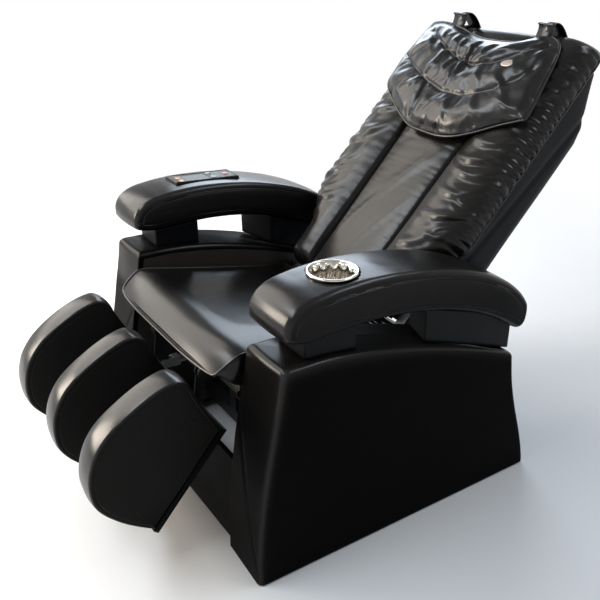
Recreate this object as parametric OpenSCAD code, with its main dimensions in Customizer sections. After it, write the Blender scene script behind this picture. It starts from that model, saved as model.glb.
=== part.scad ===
// Reclining massage chair for a waiting area. Padded side panels and crescent
// armrests stand on a steel base. The back reclines and carries a roller
// carriage on a lead screw. The leg rest has three fins and two calf wells.
// X runs across the chair (+X is the sitter's left), -Y is the front, +Z is up.

/* [Overall] */
// Width across the outer faces of the two side panels
body_w = 780; // [760:10:940]
// Clear width between the inner faces of the side panels
seat_opening_w = 510; // [480:10:560]
// Height of the seat plane at the front edge of the seat
seat_height = 447; // [420:1:540]
// Length of the seat cushion along its slope
seat_l = 447; // [420:1:540]

/* [Seat] */
// Front edge of the seat, measured from the middle of the chair
seat_front = -354; // [-380:1:-340]
// Slope of the seat, down towards the back, in degrees
seat_slope = 12; // [8:0.5:14]
// Thickness of the seat cushion
cushion_t = 80; // [60:1:90]
// Rise of the cushion's crown above its edges
cushion_crown = 8; // [2:1:14]
// Gap between the cushion and each side panel
cushion_side_gap = 10; // [4:1:20]
// Thickness of the seat board
seat_board_t = 12; // [9:1:18]

/* [Side panels and arms] */
// Height of the panels above the seat plane's front edge
panel_above_seat = 17; // [0:1:40]
// Fall of the panel top from front to back
panel_drop = 138; // [100:1:160]
// Thickness of the panels' padded walls
panel_wall = 15; // [10:1:20]
// Edge rounding of the side panels
panel_round = 18; // [8:1:24]
// How far each arm stands out past its side panel
arm_overhang = 10; // [0:1:20]
// Height of the arms' highest point above the panel top
arm_rise = 136; // [120:1:150]
// Edge rounding of the arms
arm_round = 22; // [12:1:24]
// Height of the glides under the side panels
glide_h = 3; // [2:1:12]

/* [Cup holder and control pad] */
// Outer diameter of the cup holder's body
cup_d = 86; // [76:1:90]
// Depth of the cup holder below its flange
cup_depth = 60; // [40:1:64]
// Wall of the cup holder
cup_wall = 3; // [2:0.5:4]
// Length of the control pad
pad_l = 170; // [164:1:200]
// Width of the control pad
pad_w = 66; // [56:1:80]
// Diameter of the control pad's keys
key_d = 14; // [10:0.5:16]

/* [Frame] */
// Side of the square base tubes
tube = 30; // [25:1:35]
// Side of the square tubes of the seat frame and the back frame
frame_tube = 25; // [20:1:28]
// Wall of all the square tubes
tube_wall = 2; // [1.5:0.5:3]
// Thickness of the hinge plates
plate_t = 8; // [6:1:10]
// Diameter of the hinge pins
pin_d = 12; // [10:1:14]
// Play of a turning or sliding fit, on the radius
fit_gap = 0.05; // [0.02:0.01:0.09]
// Gap between a soft piece and its neighbour
soft_gap = 0.3; // [0.2:0.1:1]

/* [Back] */
// Lean of the back from vertical, in degrees
back_lean = 43; // [35:1:50]
// Length of the back pad
back_l = 735; // [640:5:780]
// Half width of the back pad between the arms
back_low_half = 190; // [170:1:200]
// How far the bolsters stand out past the opening on each side
bolster_overhang = 7; // [0:1:12]
// Height of the pad's flat rear face in front of the back's centre plane
pad_rear = 14; // [12:1:20]
// Height of the bolsters' crests above the centre plane
pad_crest = 85; // [70:1:92]
// Depth of the rear shell behind the centre plane
shell_depth = 120; // [118:1:140]
// Wall of the rear shell
shell_wall = 4; // [3:0.5:6]
// Pillow thickness at its crown
pillow_t = 44; // [25:1:55]

/* [Massage carriage] */
// Diameter of the massage rollers
roller_d = 44; // [36:1:48]
// Width of the massage rollers
roller_w = 22; // [18:1:24]
// Diameter of the kneading shaft
knead_d = 16; // [12:1:18]
// Diameter of the lead screw
screw_d = 14; // [12:1:16]

/* [Leg rest] */
// Lean of the leg rest from vertical, in degrees
leg_lean = 41.3; // [30:0.1:45]
// Length of the fins from the hinge line to the lower edge
leg_l = 302; // [280:1:320]
// Width of each outer fin
fin_w = 65; // [55:1:70]
// Width of the middle fin
mid_fin_w = 60; // [50:1:70]
// Depth of the calf pads
calf_pad_t = 58; // [40:1:70]

/* [Drives] */
// Drop from the recline pivot to its actuator's line
recline_arm = 105; // [100:1:112]
// Drop from the leg-rest pivot to its actuator's line
leg_arm = 85; // [80:1:92]
// Diameter of the actuator rods
rod_d = 18; // [14:1:20]
// Diameter of the actuator tubes
drive_d = 46; // [40:1:50]

/* [Hidden] */
$fn = 64;

// Widths
half_open = seat_opening_w / 2;
panel_t = body_w / 2 - half_open;
arm_w = panel_t + arm_overhang;
arm_x = half_open + arm_w / 2;
rail_x = half_open - tube;
plate_x = rail_x - plate_t;

// Side profile of the base
seat_end = seat_front + seat_l * cos(seat_slope);
panel_front = seat_front - 7;
panel_h = seat_height + panel_above_seat;
recline_y = seat_end + 34.8;
recline_z = seat_height - (recline_y - seat_front) * tan(seat_slope) - 16.7;
panel_rear = recline_y + 253;
arm_front = panel_front + 61;
arm_rear = panel_rear - 62;
rail_low = 30;
rail_top = rail_low + tube;

// Back frame: its origin lies above the recline pivot, its Z runs up the back
back_z = recline_z + 30;
pivot_y = 30 * sin(back_lean);
pivot_z = -30 * cos(back_lean);
bush_r = 16;
upright_x = plate_x - 1 - frame_tube - 2;
upright_top = back_l - 80;
low_tube_z = 7.5;
top_tube_z = upright_top - frame_tube;

// Leg rest: its origin is the hinge line, its Z runs up along the leg
leg_pivot_y = seat_front + 32;
leg_pivot_z = seat_height - 110;
leg_back = 36;
leg_board_t = 12;
eye_r = 15;
leg_arm_x = 102;
leg_plate_t = 6;
fin_outer = half_open - 20;

// Drives
lever_x = 60;
lever_t = 8;
lever_turn = 5;
leg_lever_turn = 1;
cross_pin_r = 5;
recline_slot_r = 6.7;
leg_slot_r = 6.5;
fork_ear_t = 5;
fork_gap = 10;
stand_y = seat_front + 222;

// ---------- shared shapes ----------

// Points of a cubic Bezier curve from p[0] towards p[3], leaving out the last
function bezier(p, n) = [for (i = [0:n - 1])
  let (t = i / n, s = 1 - t)
  s * s * s * p[0] + 3 * s * s * t * p[1] + 3 * s * t * t * p[2] + t * t * t * p[3]];

// A counter-clockwise outline with every side moved inwards by d
function inset(o, d) = let (n = len(o)) [for (i = [0:n - 1])
  let (a = o[i] - o[(i + n - 1) % n],
    b = o[(i + 1) % n] - o[i],
    p = [-a.y, a.x] / norm(a),
    q = [-b.y, b.x] / norm(b))
  o[i] + d * (p + q) / (1 + p * q)];

// Quarter-circle rise from 0 at d = 0 to 1 at d = r
function rise(d, r) = let (k = 1 - min(max(d, 0), r) / r) sqrt(1 - k * k);

// Smooth step from 0 to 1
function smooth(t) = let (k = min(max(t, 0), 1)) k * k * (3 - 2 * k);

// Triangles that close a ring of n points by rungs between its two halves
function ladder(n) = [for (i = [0:ceil(n / 2) - 2])
  each i + 1 < n - 2 - i
    ? [[i, i + 1, n - 1 - i], [i + 1, n - 2 - i, n - 1 - i]]
    : [[i, i + 1, n - 1 - i]]];

// Triangles that close a ring of n points from its first point
function fan(n) = [for (i = [1:n - 2]) [0, i, i + 1]];

// Closed solid through rings of equal counts, which run counter-clockwise seen
// from the end that the rings advance towards
module loft(rings, star = false) {
  n = len(rings[0]);
  m = len(rings);
  walls = [for (i = [0:m - 2], j = [0:n - 1])
    let (k = (j + 1) % n, a = i * n + j, b = i * n + k)
    each [[a, a + n, b + n], [a, b + n, b]]];
  cap = star ? fan(n) : ladder(n);
  last = (m - 1) * n;
  ends = concat(cap, [for (t = cap) [t[2] + last, t[1] + last, t[0] + last]]);
  polyhedron([for (r = rings) each r], concat(walls, ends), convexity = 8);
}

// Side outline o spread across x0..x1, its edges rounded by r0 and r1
module padded_side(o, x0, x1, r0, r1) {
  steps = [0, 30, 60, 90];
  near = [for (a = [90, 60, 30, 0]) [x0 + r0 - r0 * sin(a), r0 - r0 * cos(a)]];
  far = [for (a = steps) [x1 - r1 + r1 * sin(a), r1 - r1 * cos(a)]];
  loft([for (s = concat(near, far)) [for (p = inset(o, s[1])) [s[0], p.x, p.y]]]);
}

// Bar along X at (y, z)
module bar_x(x0, x1, y, z, r) {
  translate([x0, y, z]) rotate([0, 90, 0]) cylinder(h = x1 - x0, r = r);
}

// Bar along Y at (x, z)
module bar_y(x, z, y0, y1, r) {
  translate([x, y1, z]) rotate([90, 0, 0]) cylinder(h = y1 - y0, r = r);
}

// Box between two corners
module block(a, b) {
  translate(a) cube(b - a);
}

// Open square tube between two corners along axis 0, 1 or 2
module square_tube(a, b, axis) {
  w = [for (i = [0:2]) i == axis ? -1 : tube_wall];
  difference() {
    block(a, b);
    block(a + w, b - w);
  }
}

// Flat plate in the Y-Z plane, from x0 to x1
module plate_yz(x0, x1) {
  translate([x0, 0, 0]) rotate([90, 0, 90]) linear_extrude(x1 - x0) children();
}

// Straight link between two points of a flat outline, with a round eye at each
module link(a, b, r) {
  d = b - a;
  translate(a) circle(r);
  translate(b) circle(r);
  translate(a) rotate(atan2(d.y, d.x)) translate([0, 1 - r]) square([norm(d), 2 * r - 2]);
}

// Straight slot that lets a pin of radius r run between two points
module slot(a, b, r) {
  d = b - a;
  translate(a) rotate(atan2(d.y, d.x)) translate([-r, -r]) square([norm(d) + 2 * r, 2 * r]);
}

// The same piece on both sides of the chair
module both_sides() {
  children();
  mirror([1, 0, 0]) children();
}

// ---------- places ----------

module seat_place() {
  translate([0, seat_front, seat_height]) rotate([-seat_slope, 0, 0]) children();
}

module back_place() {
  translate([0, recline_y, back_z]) rotate([-back_lean, 0, 0]) children();
}

module leg_place() {
  translate([0, leg_pivot_y, leg_pivot_z]) rotate([-leg_lean, 0, 0]) children();
}

module kick_place() {
  translate([0, panel_front + 16, glide_h + 9]) rotate([-9.9, 0, 0]) children();
}

module rear_place() {
  translate([0, panel_rear - 13, glide_h + 9]) rotate([13.5, 0, 0]) children();
}

// ---------- base ----------

module base_side_rails() {
  color("#2b2b2e") both_sides() difference() {
    square_tube([rail_x, panel_front + 40, rail_low], [half_open, rear_tube_y + tube, rail_top], 1);
    side_bolt_holes();
  }
}

rear_tube_y = panel_rear - 83;
cross_tube_ys = [panel_front + 54, stand_y - tube / 2, recline_y - 65, rear_tube_y];

module base_cross_tubes() {
  color("#2b2b2e") for (y = cross_tube_ys)
    square_tube([-rail_x, y, rail_low], [rail_x, y + tube, rail_top], 0);
}

post_ys = [panel_front + 84, recline_y - 105, recline_y - tube / 2];
post_tops = [seat_height - 117, recline_z - 64, recline_z + 20];

module base_posts() {
  color("#2b2b2e") both_sides() for (i = [0:2])
    square_tube([rail_x, post_ys[i], rail_top], [half_open, post_ys[i] + tube, post_tops[i]], 2);
}

board_under = cushion_t + soft_gap + seat_board_t;
seat_rail_x = rail_x - frame_tube;

module seat_frame() {
  z0 = -board_under - frame_tube;
  color("#2b2b2e") seat_place() {
    both_sides() square_tube([seat_rail_x, 85, z0], [rail_x, seat_l - 12, -board_under], 1);
    for (s = [92.5, seat_l - 60])
      square_tube([fit_gap - seat_rail_x, s, z0],
        [seat_rail_x - fit_gap, s + frame_tube, -board_under], 0);
  }
}

module seat_board() {
  color("#b58f5c") seat_place()
    block([-rail_x, 74, -board_under], [rail_x, seat_l - 7, -cushion_t - soft_gap]);
}

// Cross-section of the seat cushion at distance s from its front edge
function seat_ring(s) = let (
  front = rise(s, 36),
  rear = rise(seat_l - s, 24),
  w = (half_open - cushion_side_gap - 5 * sin(180 * s / seat_l)) * (0.965 + 0.035 * front)
      - 10 * (1 - rear),
  top = cushion_crown - 20 * (1 - front) - 24 * (1 - rear),
  under = -cushion_t + 10 * (1 - rear),
  bow = 33 * (1 - smooth(s / 70)))
  concat(
    [for (i = [0:14]) let (u = cos(180 * i / 14))
      [w * u, s, top - cushion_crown * u * u - 20 * (1 - sqrt(1 - pow(abs(u), 7)))]],
    [for (i = [1:9]) let (u = -cos(180 * i / 10))
      [w * u * 0.98, s, under + bow * u * u + 3 * u * u]]);

module seat_cushion() {
  stops = [seat_l, seat_l - 3, seat_l - 10, seat_l - 24, seat_l * 0.78, seat_l * 0.6,
    seat_l * 0.42, seat_l * 0.27, 72, 50, 36, 20, 9, 3, 0];
  color("#1b1c1f") seat_place() loft([for (s = stops) seat_ring(s)]);
}

// Recline plates on the rear posts, and leg-rest brackets on the seat frame
module hinge_plates() {
  color("#3a3a3d") both_sides() {
    difference() {
      plate_yz(plate_x, rail_x) {
        translate([recline_y, recline_z]) circle(20);
        translate([recline_y - 20, recline_z - 46]) square([40, 46]);
      }
      bar_x(plate_x - 1, rail_x + 1, recline_y, recline_z, pin_d / 2 + fit_gap);
    }
    difference() {
      union() {
        plate_yz(leg_arm_x + 10, leg_arm_x + 10 + plate_t)
          translate([leg_pivot_y, leg_pivot_z]) circle(eye_r - 1);
        seat_place() block([leg_arm_x + 10, 58, -board_under - frame_tube + 1],
          [leg_arm_x + 10 + plate_t, 92.5, -board_under - 4]);
      }
      bar_x(leg_arm_x, leg_arm_x + 30, leg_pivot_y, leg_pivot_z, pin_d / 2 + fit_gap);
    }
  }
}

// Two recline pins with heads, and the long leg-rest pin with its end rings
module hinge_pins() {
  color("#b9bcc0") {
    both_sides() {
      bar_x(upright_x - 2.5, rail_x, recline_y, recline_z, pin_d / 2);
      bar_x(upright_x - 6.5, upright_x - 2.5, recline_y, recline_z, pin_d / 2 + 4);
    }
    end_x = leg_arm_x + 10 + plate_t;
    bar_x(-end_x - 4, end_x + 4, leg_pivot_y, leg_pivot_z, pin_d / 2);
    both_sides() bar_x(end_x + 0.5, end_x + 3.5, leg_pivot_y, leg_pivot_z, pin_d / 2 + 3);
  }
}

module kick_panel() {
  color("#141416") kick_place() block([-half_open, 0, 0], [half_open, 12, 170]);
}

inlet_x = -120;
switch_x = -62;
inlet_z = 108;

module rear_cover() {
  color("#1c1c1e") rear_place() difference() {
    block([-half_open, -9, 56], [half_open, 0, 204]);
    block([inlet_x - 24, -10, inlet_z - 14], [inlet_x + 24, 1, inlet_z + 14]);
    block([switch_x - 11, -10, inlet_z - 15], [switch_x + 11, 1, inlet_z + 15]);
    for (i = [-5:5], z = [150, 166, 182])
      block([i * 40 - 14, -10, z], [i * 40 + 14, 1, z + 5]);
  }
}

// ---------- side panels ----------

panel_tail = panel_h - panel_drop;
side_outline = concat(
  [[panel_front, glide_h]],
  bezier([[panel_rear, glide_h], [panel_rear - 6, 90], [panel_rear - 68, 180],
    [panel_rear - 83, panel_tail]], 7),
  bezier([[panel_rear - 83, panel_tail], [panel_rear - 208, panel_tail + 58],
    [panel_front + 269, panel_h + 2], [panel_front + 94, panel_h - 1]], 9),
  bezier([[panel_front + 94, panel_h - 1], [panel_front + 82, panel_h],
    [panel_front + 74, panel_h], [panel_front + 64, panel_h]], 1),
  bezier([[panel_front + 62, panel_h - 3], [panel_front + 44, panel_h - 134],
    [panel_front, 200], [panel_front, glide_h]], 7));

board_t = 12;
cavity = inset(side_outline, panel_wall);

module side_panel() {
  difference() {
    padded_side(side_outline, half_open, half_open + panel_t, 3, panel_round);
    plate_yz(half_open - 1, half_open + panel_t - panel_wall) polygon(cavity);
  }
}

module left_side_panel() {
  color("#161618") side_panel();
}

module right_side_panel() {
  color("#161618") mirror([1, 0, 0]) side_panel();
}

bolt_ys = [panel_front + 110, recline_y + 40];

module side_bolt_holes() {
  for (y = bolt_ys)
    bar_x(rail_x - 1, half_open + board_t + 1, y, rail_low + tube / 2, 4 + 2 * fit_gap);
}

module inner_boards() {
  color("#b58f5c") both_sides() difference() {
    plate_yz(half_open, half_open + board_t) polygon(inset(cavity, soft_gap));
    side_bolt_holes();
  }
}

// Hexagon bolts through the side rails into the boards
module side_bolts() {
  color("#b9bcc0") both_sides() for (y = bolt_ys) {
    bar_x(rail_x, half_open + board_t + 8, y, rail_low + tube / 2, 4);
    translate([rail_x, y, rail_low + tube / 2]) rotate([0, -90, 0])
      cylinder(h = 5.5, r = 7.5, $fn = 6);
    translate([half_open + board_t, y, rail_low + tube / 2]) rotate([0, 90, 0])
      cylinder(h = 6.5, r = 7.5, $fn = 6);
  }
}

module floor_glides() {
  color("#0e0e0f") both_sides() for (y = [panel_front + 35, 0, panel_rear - 40])
    translate([half_open + panel_t / 2, y, 0]) cylinder(h = glide_h, r = 20);
}

// ---------- arms ----------

arm_top = panel_h + arm_rise;
arm_outline = concat(
  bezier([[arm_front + 1, panel_h + 58], [arm_front + 8, panel_h + 46],
    [arm_front + 43, panel_h + 40], [arm_front + 68, panel_h + 41]], 3),
  bezier([[arm_front + 68, panel_h + 41], [arm_front + 248, panel_h + 56],
    [arm_rear - 185, panel_h + 26], [arm_rear - 36, panel_h - 76]], 9),
  bezier([[arm_rear - 36, panel_h - 76], [arm_rear - 10, panel_h - 92],
    [arm_rear + 10, panel_h - 64], [arm_rear, panel_h - 24]], 5),
  bezier([[arm_rear, panel_h - 24], [arm_rear - 65, panel_h + 96],
    [arm_front + 248, arm_top + 20], [arm_front + 77, arm_top - 5]], 10),
  bezier([[arm_front + 77, arm_top - 5], [arm_front + 23, arm_top - 10],
    [arm_front, arm_top - 35], [arm_front, arm_top - 65]], 5));

module arm_body() {
  padded_side(arm_outline, half_open, half_open + arm_w, arm_round, arm_round);
}

// Blocks between the panel top and the arm, as outlines in the Y-Z plane
support_front = [panel_front + 118, panel_front + 232];
support_rear = [recline_y - 70, arm_rear - 20];
support_x0 = half_open + 22;
support_x1 = half_open + panel_t - 20;

module support_outline(y0, y1, top0, top1) {
  difference() {
    polygon([[y0, panel_tail - 20], [y1, panel_tail - 20], [y1, top1], [y0, top0]]);
    polygon(inset(arm_outline, -soft_gap));
    polygon(inset(side_outline, -soft_gap));
  }
}

// The rear block's front face slants away from the window
module arm_supports() {
  y = support_rear[0];
  plate_yz(support_x0, support_x1)
    support_outline(support_front[0], support_front[1], arm_top - 45, arm_top - 45);
  difference() {
    plate_yz(support_x0, support_x1) support_outline(y, support_rear[1], arm_top - 60, panel_h - 40);
    linear_extrude(arm_top)
      polygon([[support_x1 + 1, y], [support_x0 - 1, y + 40],
        [support_x0 - 1, y - 1], [support_x1 + 1, y - 1]]);
  }
}

module left_arm_supports() {
  color("#2a2b2e") arm_supports();
}

module right_arm_supports() {
  color("#2a2b2e") mirror([1, 0, 0]) arm_supports();
}

cup_y = arm_front + 143;
cup_top = arm_top + 2;
cup_flange_t = 5;
cup_flange_r = cup_d / 2 + 6;

module left_armrest() {
  color("#161618") difference() {
    arm_body();
    translate([arm_x, cup_y, cup_top - cup_flange_t - cup_depth - soft_gap])
      cylinder(h = cup_depth + 40, r = cup_d / 2 + soft_gap);
    translate([arm_x, cup_y, cup_top - cup_flange_t - soft_gap])
      cylinder(h = 40, r = cup_flange_r + soft_gap);
  }
}

// Control pad: its local frame lies in the arm's top, sloping a little to the rear
pad_y = arm_front + 215;
pad_slope = 3.2;
pad_depth = 16;
pad_proud = 0.5;

module pad_place() {
  translate([-arm_x - 4, pad_y, arm_top - 2 + pad_proud]) rotate([-pad_slope, 0, 0]) children();
}

module right_armrest() {
  color("#161618") difference() {
    mirror([1, 0, 0]) arm_body();
    pad_place() block([-pad_w / 2 - soft_gap, -pad_l / 2 - soft_gap, -pad_depth - soft_gap],
      [pad_w / 2 + soft_gap, pad_l / 2 + soft_gap, 40]);
  }
}

// Fluted cup: a turned cup with shallow grooves round its inside
module cup_holder() {
  inner = cup_d / 2 - cup_wall;
  flutes = 20;
  color("#d7d9dc") translate([arm_x, cup_y, cup_top]) difference() {
    union() {
      translate([0, 0, -cup_flange_t - cup_depth]) cylinder(h = cup_depth + cup_flange_t, r = cup_d / 2);
      translate([0, 0, -cup_flange_t]) cylinder(h = cup_flange_t, r = cup_flange_r);
    }
    translate([0, 0, -cup_flange_t - cup_depth + cup_wall]) cylinder(h = cup_depth + 20, r = inner - 2);
    for (i = [0:flutes - 1]) rotate((i + 0.5) * 360 / flutes)
      translate([inner - 5, 0, -cup_flange_t - cup_depth + cup_wall]) cylinder(h = cup_depth + 20, r = 5);
  }
}

window_l = 62;
window_w = 44;
window_y = -pad_l / 2 + 34;
key_travel = 2;
key_h = 8;
key_spots = [[0, -pad_l / 2 + 17], [-16, 22], [16, 22], [0, 62]];

module control_housing() {
  color("#202124") pad_place() difference() {
    block([-pad_w / 2, -pad_l / 2, -pad_depth], [pad_w / 2, pad_l / 2, 0]);
    block([-window_w / 2, window_y, -3], [window_w / 2, window_y + window_l, 1]);
    for (k = key_spots)
      translate([k.x, k.y, -key_h - key_travel]) cylinder(h = 20, r = key_d / 2 + 0.2);
  }
}

module display_window() {
  color("#7f97a3") pad_place()
    block([-window_w / 2 + 0.1, window_y + 0.1, -3], [window_w / 2 - 0.1, window_y + window_l - 0.1, -0.5]);
}

module key(i) {
  k = key_spots[i];
  pad_place() translate([k.x, k.y, -key_h + key_travel]) cylinder(h = key_h, r = key_d / 2);
}

module power_key() {
  color("#f0962e") key(0);
}

module knead_key() {
  color("#c8ccd0") key(1);
}

module tap_key() {
  color("#c8ccd0") key(2);
}

module recline_key() {
  color("#c23a3a") key(3);
}

// ---------- electrics and transport ----------

box_y0 = cross_tube_ys[2];
box_y1 = rear_tube_y + tube - 8;

module control_box() {
  color("#8d9196") difference() {
    block([-195, box_y0, rail_top], [-25, box_y1 - 14, rail_top + 70]);
    for (i = [0:7])
      block([-196, box_y0 + 40 + i * 20, rail_top + 15], [-190, box_y0 + 48 + i * 20, rail_top + 55]);
  }
}

// Pump body on a base plate that spans two cross tubes, with two hose tails
module air_pump() {
  color("#5b5e63") {
    block([35, box_y0, rail_top], [175, box_y1, rail_top + 4]);
    block([45, box_y0 + 50, rail_top + 4], [165, box_y0 + 200, rail_top + 64]);
    for (x = [80, 130]) bar_y(x, rail_top + 40, box_y0 + 30, box_y0 + 50, 5);
  }
}

// Appliance inlet and switch frame on one flange
module power_inlet() {
  color("#101011") rear_place() difference() {
    union() {
      block([inlet_x - 30, 0, inlet_z - 20], [switch_x + 18, 3, inlet_z + 20]);
      block([inlet_x - 23.7, -30, inlet_z - 13.7], [inlet_x + 23.7, 0, inlet_z + 13.7]);
      block([switch_x - 10.7, -22, inlet_z - 14.7], [switch_x + 10.7, 0, inlet_z + 14.7]);
    }
    block([inlet_x - 20, -18, inlet_z - 10], [inlet_x + 20, 4, inlet_z + 10]);
    block([switch_x - 8, -16, inlet_z - 13], [switch_x + 8, 4, inlet_z + 13]);
    bar_x(switch_x - 10, switch_x + 10, -4, inlet_z, 1.5 + fit_gap);
  }
}

module power_switch() {
  color("#b02020") rear_place() {
    translate([0, -4, inlet_z]) rotate([-6, 0, 0])
      block([switch_x - 7.6, -6, -11], [switch_x + 7.6, 6, 11]);
    bar_x(switch_x - 9.8, switch_x + 9.8, -4, inlet_z, 1.5);
  }
}

roller_x = 180;
transport_z = 33;
transport_r = 25;
transport_y = rear_tube_y + tube + transport_r + 1;

module roller_forks() {
  color("#3a3a3d") both_sides() for (x = [roller_x - 15, roller_x + 10]) difference() {
    block([x, rear_tube_y + tube, rail_low - 8], [x + 5, transport_y + 12, rail_top - 14]);
    bar_x(x - 1, x + 6, transport_y, transport_z, 5 + fit_gap);
  }
}

// Two rubber rollers pressed on one axle
module transport_rollers() {
  color("#101011") {
    bar_x(-roller_x - 17, roller_x + 17, transport_y, transport_z, 5);
    both_sides() bar_x(roller_x - 9, roller_x + 9, transport_y, transport_z, transport_r);
  }
}

// ---------- drives ----------

recline_line = recline_z - recline_arm;
leg_line = leg_pivot_z - leg_arm;
recline_pin_y = recline_y + recline_arm * tan(lever_turn);
leg_pin_y = leg_pivot_y + leg_arm * tan(leg_lever_turn);

// Rod with a fork and cross pin at its open end, along Y through (x, z)
module drive_rod(x, z, pin_y, fork_side, end_y) {
  ear_x = fork_gap / 2;
  y_block = pin_y - fork_side * 30;
  difference() {
    union() {
      translate([x, 0, z]) for (s = [-1, 1]) plate_yz(s * (ear_x + fork_ear_t / 2) - fork_ear_t / 2,
        s * (ear_x + fork_ear_t / 2) + fork_ear_t / 2)
        link([pin_y, 0], [y_block, 0], 11);
      block([x - ear_x - fork_ear_t, y_block - 8, z - 11], [x + ear_x + fork_ear_t, y_block + 8, z + 11]);
    }
    block([x - 30, y_block - fork_side * 20 - 12, z - 30], [x + 30, y_block - fork_side * 20 + 12, z + 30]);
  }
  bar_x(x - ear_x - fork_ear_t - 2, x + ear_x + fork_ear_t + 2, pin_y, z, cross_pin_r);
  bar_y(x, z, min(end_y, y_block), max(end_y, y_block), rod_d / 2);
}

// Tube, gear housing and motor of one actuator, with a bore for its rod
module drive_body(x, z, y_mouth, y_end, box0, box1, motor_side, motor_y0, motor_y1) {
  y_low = min(y_mouth, y_end);
  y_high = max(y_mouth, y_end);
  bore_end = y_end > y_mouth ? y_end - 8 : y_end + 8;
  motor_x = x + motor_side * (drive_d / 2 + 25);
  difference() {
    union() {
      bar_y(x, z, y_low, y_high, drive_d / 2);
      block([min(x - 28, motor_x - 24), box0, z - 28], [max(x + 28, motor_x + 24), box1, z + 24]);
      bar_y(motor_x, z, motor_y0, motor_y1, 20);
    }
    bar_y(x, z, min(y_mouth - 1, bore_end), max(y_mouth + 1, bore_end), rod_d / 2 + fit_gap);
  }
}

module recline_rod() {
  color("#c3c6ca") drive_rod(lever_x, recline_line, recline_pin_y, 1, recline_y - 220);
}

module recline_actuator() {
  color("#6c6f74") drive_body(lever_x, recline_line, recline_y - 112, recline_y - 297,
    stand_y - 45, stand_y + 25, 1, stand_y + 25, stand_y + 130);
}

module legrest_rod() {
  color("#c3c6ca") drive_rod(-leg_arm_x, leg_line, leg_pin_y, -1, leg_pivot_y + 180);
}

module legrest_actuator() {
  color("#6c6f74") drive_body(-leg_arm_x, leg_line, leg_pivot_y + 97, leg_pivot_y + 230,
    stand_y - 25, stand_y + 42, -1, stand_y - 115, stand_y - 25);
}

// Posts from the middle cross tube up to the two gear housings
module drive_stands() {
  color("#2b2b2e") {
    square_tube([lever_x - 15, stand_y - 15, rail_top], [lever_x + 15, stand_y + 15, recline_line - 28], 2);
    square_tube([-leg_arm_x - 15, stand_y - 15, rail_top],
      [-leg_arm_x + 15, stand_y + 15, leg_line - 28], 2);
  }
}

// ---------- back ----------

module back_uprights() {
  color("#2b2b2e") back_place() both_sides() difference() {
    union() {
      square_tube([upright_x, 0, pivot_z + 12], [upright_x + frame_tube, frame_tube, upright_top], 2);
      bar_x(upright_x - 2, plate_x - 1, pivot_y, pivot_z, bush_r);
      block([upright_x + 4, -pad_rear + soft_gap, 60], [upright_x + frame_tube - 4, 0, upright_top]);
    }
    bar_x(upright_x - 3, plate_x, pivot_y, pivot_z, pin_d / 2 + fit_gap);
  }
}

module back_cross_tubes() {
  color("#2b2b2e") back_place() for (z = [low_tube_z, top_tube_z])
    square_tube([-upright_x, 0, z], [upright_x, frame_tube, z + frame_tube], 0);
}

// Slotted lever under the lower cross tube, worked by the recline rod
module recline_lever() {
  turn = back_lean + lever_turn;
  down = [sin(turn), -cos(turn)];
  pivot = [pivot_y, pivot_z];
  color("#3a3a3d") back_place() plate_yz(lever_x - lever_t / 2, lever_x + lever_t / 2) difference() {
    union() {
      translate([0, pivot_z]) square([frame_tube, low_tube_z - pivot_z]);
      link([frame_tube / 2, pivot_z], pivot + 118 * down, 14);
    }
    slot(pivot + 103.5 * down, pivot + 118 * down, recline_slot_r);
  }
}

// Half width of the pad at height z up the back
function pad_half(z) = back_low_half
  + (half_open + bolster_overhang - back_low_half) * smooth((z - 80) / 145)
  - 40 * (1 - rise(back_l - z, 40));

// Front face of the pad: two bolsters and a centre panel between two channels
function pad_ring(z) = let (
  w = pad_half(z),
  full = rise(z, 30) * rise(back_l - z, 34),
  right = 97 + 23 * z / back_l,
  left = -94,
  dip = 20 * full,
  valley = pad_crest - pad_rear - dip,
  side = 4,
  outer_r = w - (w - right) * 0.45,
  outer_l = -w + (w + left) * 0.45,
  front = concat(
    [for (i = [0:4]) let (a = 90 * i / 5)
      [-w + (outer_l + w) * (1 - cos(a)), side + (pad_crest - pad_rear - side) * sin(a)]],
    [for (i = [0:3]) let (a = 90 * i / 4)
      [outer_l + (left - outer_l) * sin(a), valley + dip * cos(a)]],
    [for (i = [0:5]) let (a = 180 * i / 6, m = (left + right) / 2, h = (right - left) / 2)
      [m - h * cos(a), valley + 0.55 * dip * sin(a)]],
    [for (i = [0:3]) let (a = 90 * i / 4)
      [outer_r + (right - outer_r) * cos(a), valley + dip * sin(a)]],
    [for (i = [0:5]) let (a = 90 * i / 5)
      [outer_r + (w - outer_r) * sin(a), side + (pad_crest - pad_rear - side) * cos(a)]]))
  concat(
    [for (p = front) [p.x, -pad_rear - p.y * (0.12 + 0.88 * full), z]],
    [for (i = [0:3]) [(w - 12) * (1 - 2 * i / 3), -pad_rear, z]]);

module back_pad() {
  stops = [0, 4, 14, 30, 80, 115, 150, 185, 225, 300, 390, 480, 570, back_l - 80, back_l - 34,
    back_l - 20, back_l - 9, back_l - 2, back_l];
  color("#26262a") back_place() loft([for (z = stops) pad_ring(z)], star = true);
}

// Outline of the rear shell at height z, drawn in by d
function shell_ring(z, d) = let (
  grow = smooth((z - 60) / 160),
  w = upright_x + frame_tube + 8 + (half_open - 5 - upright_x - frame_tube - 8) * grow - d,
  cut = max(0, z - (back_l - 165)),
  deep = shell_depth - 0.75 * cut - d,
  flank = min(85, deep - 12))
  [[w, -pad_rear + soft_gap - 2 * d, z], [w - 4, flank, z], [w - 12, flank + 0.5 * (deep - flank), z],
   [w - 32, deep, z], [-w + 32, deep, z], [-w + 12, flank + 0.5 * (deep - flank), z],
   [-w + 4, flank, z], [-w, -pad_rear + soft_gap - 2 * d, z]];

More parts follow.
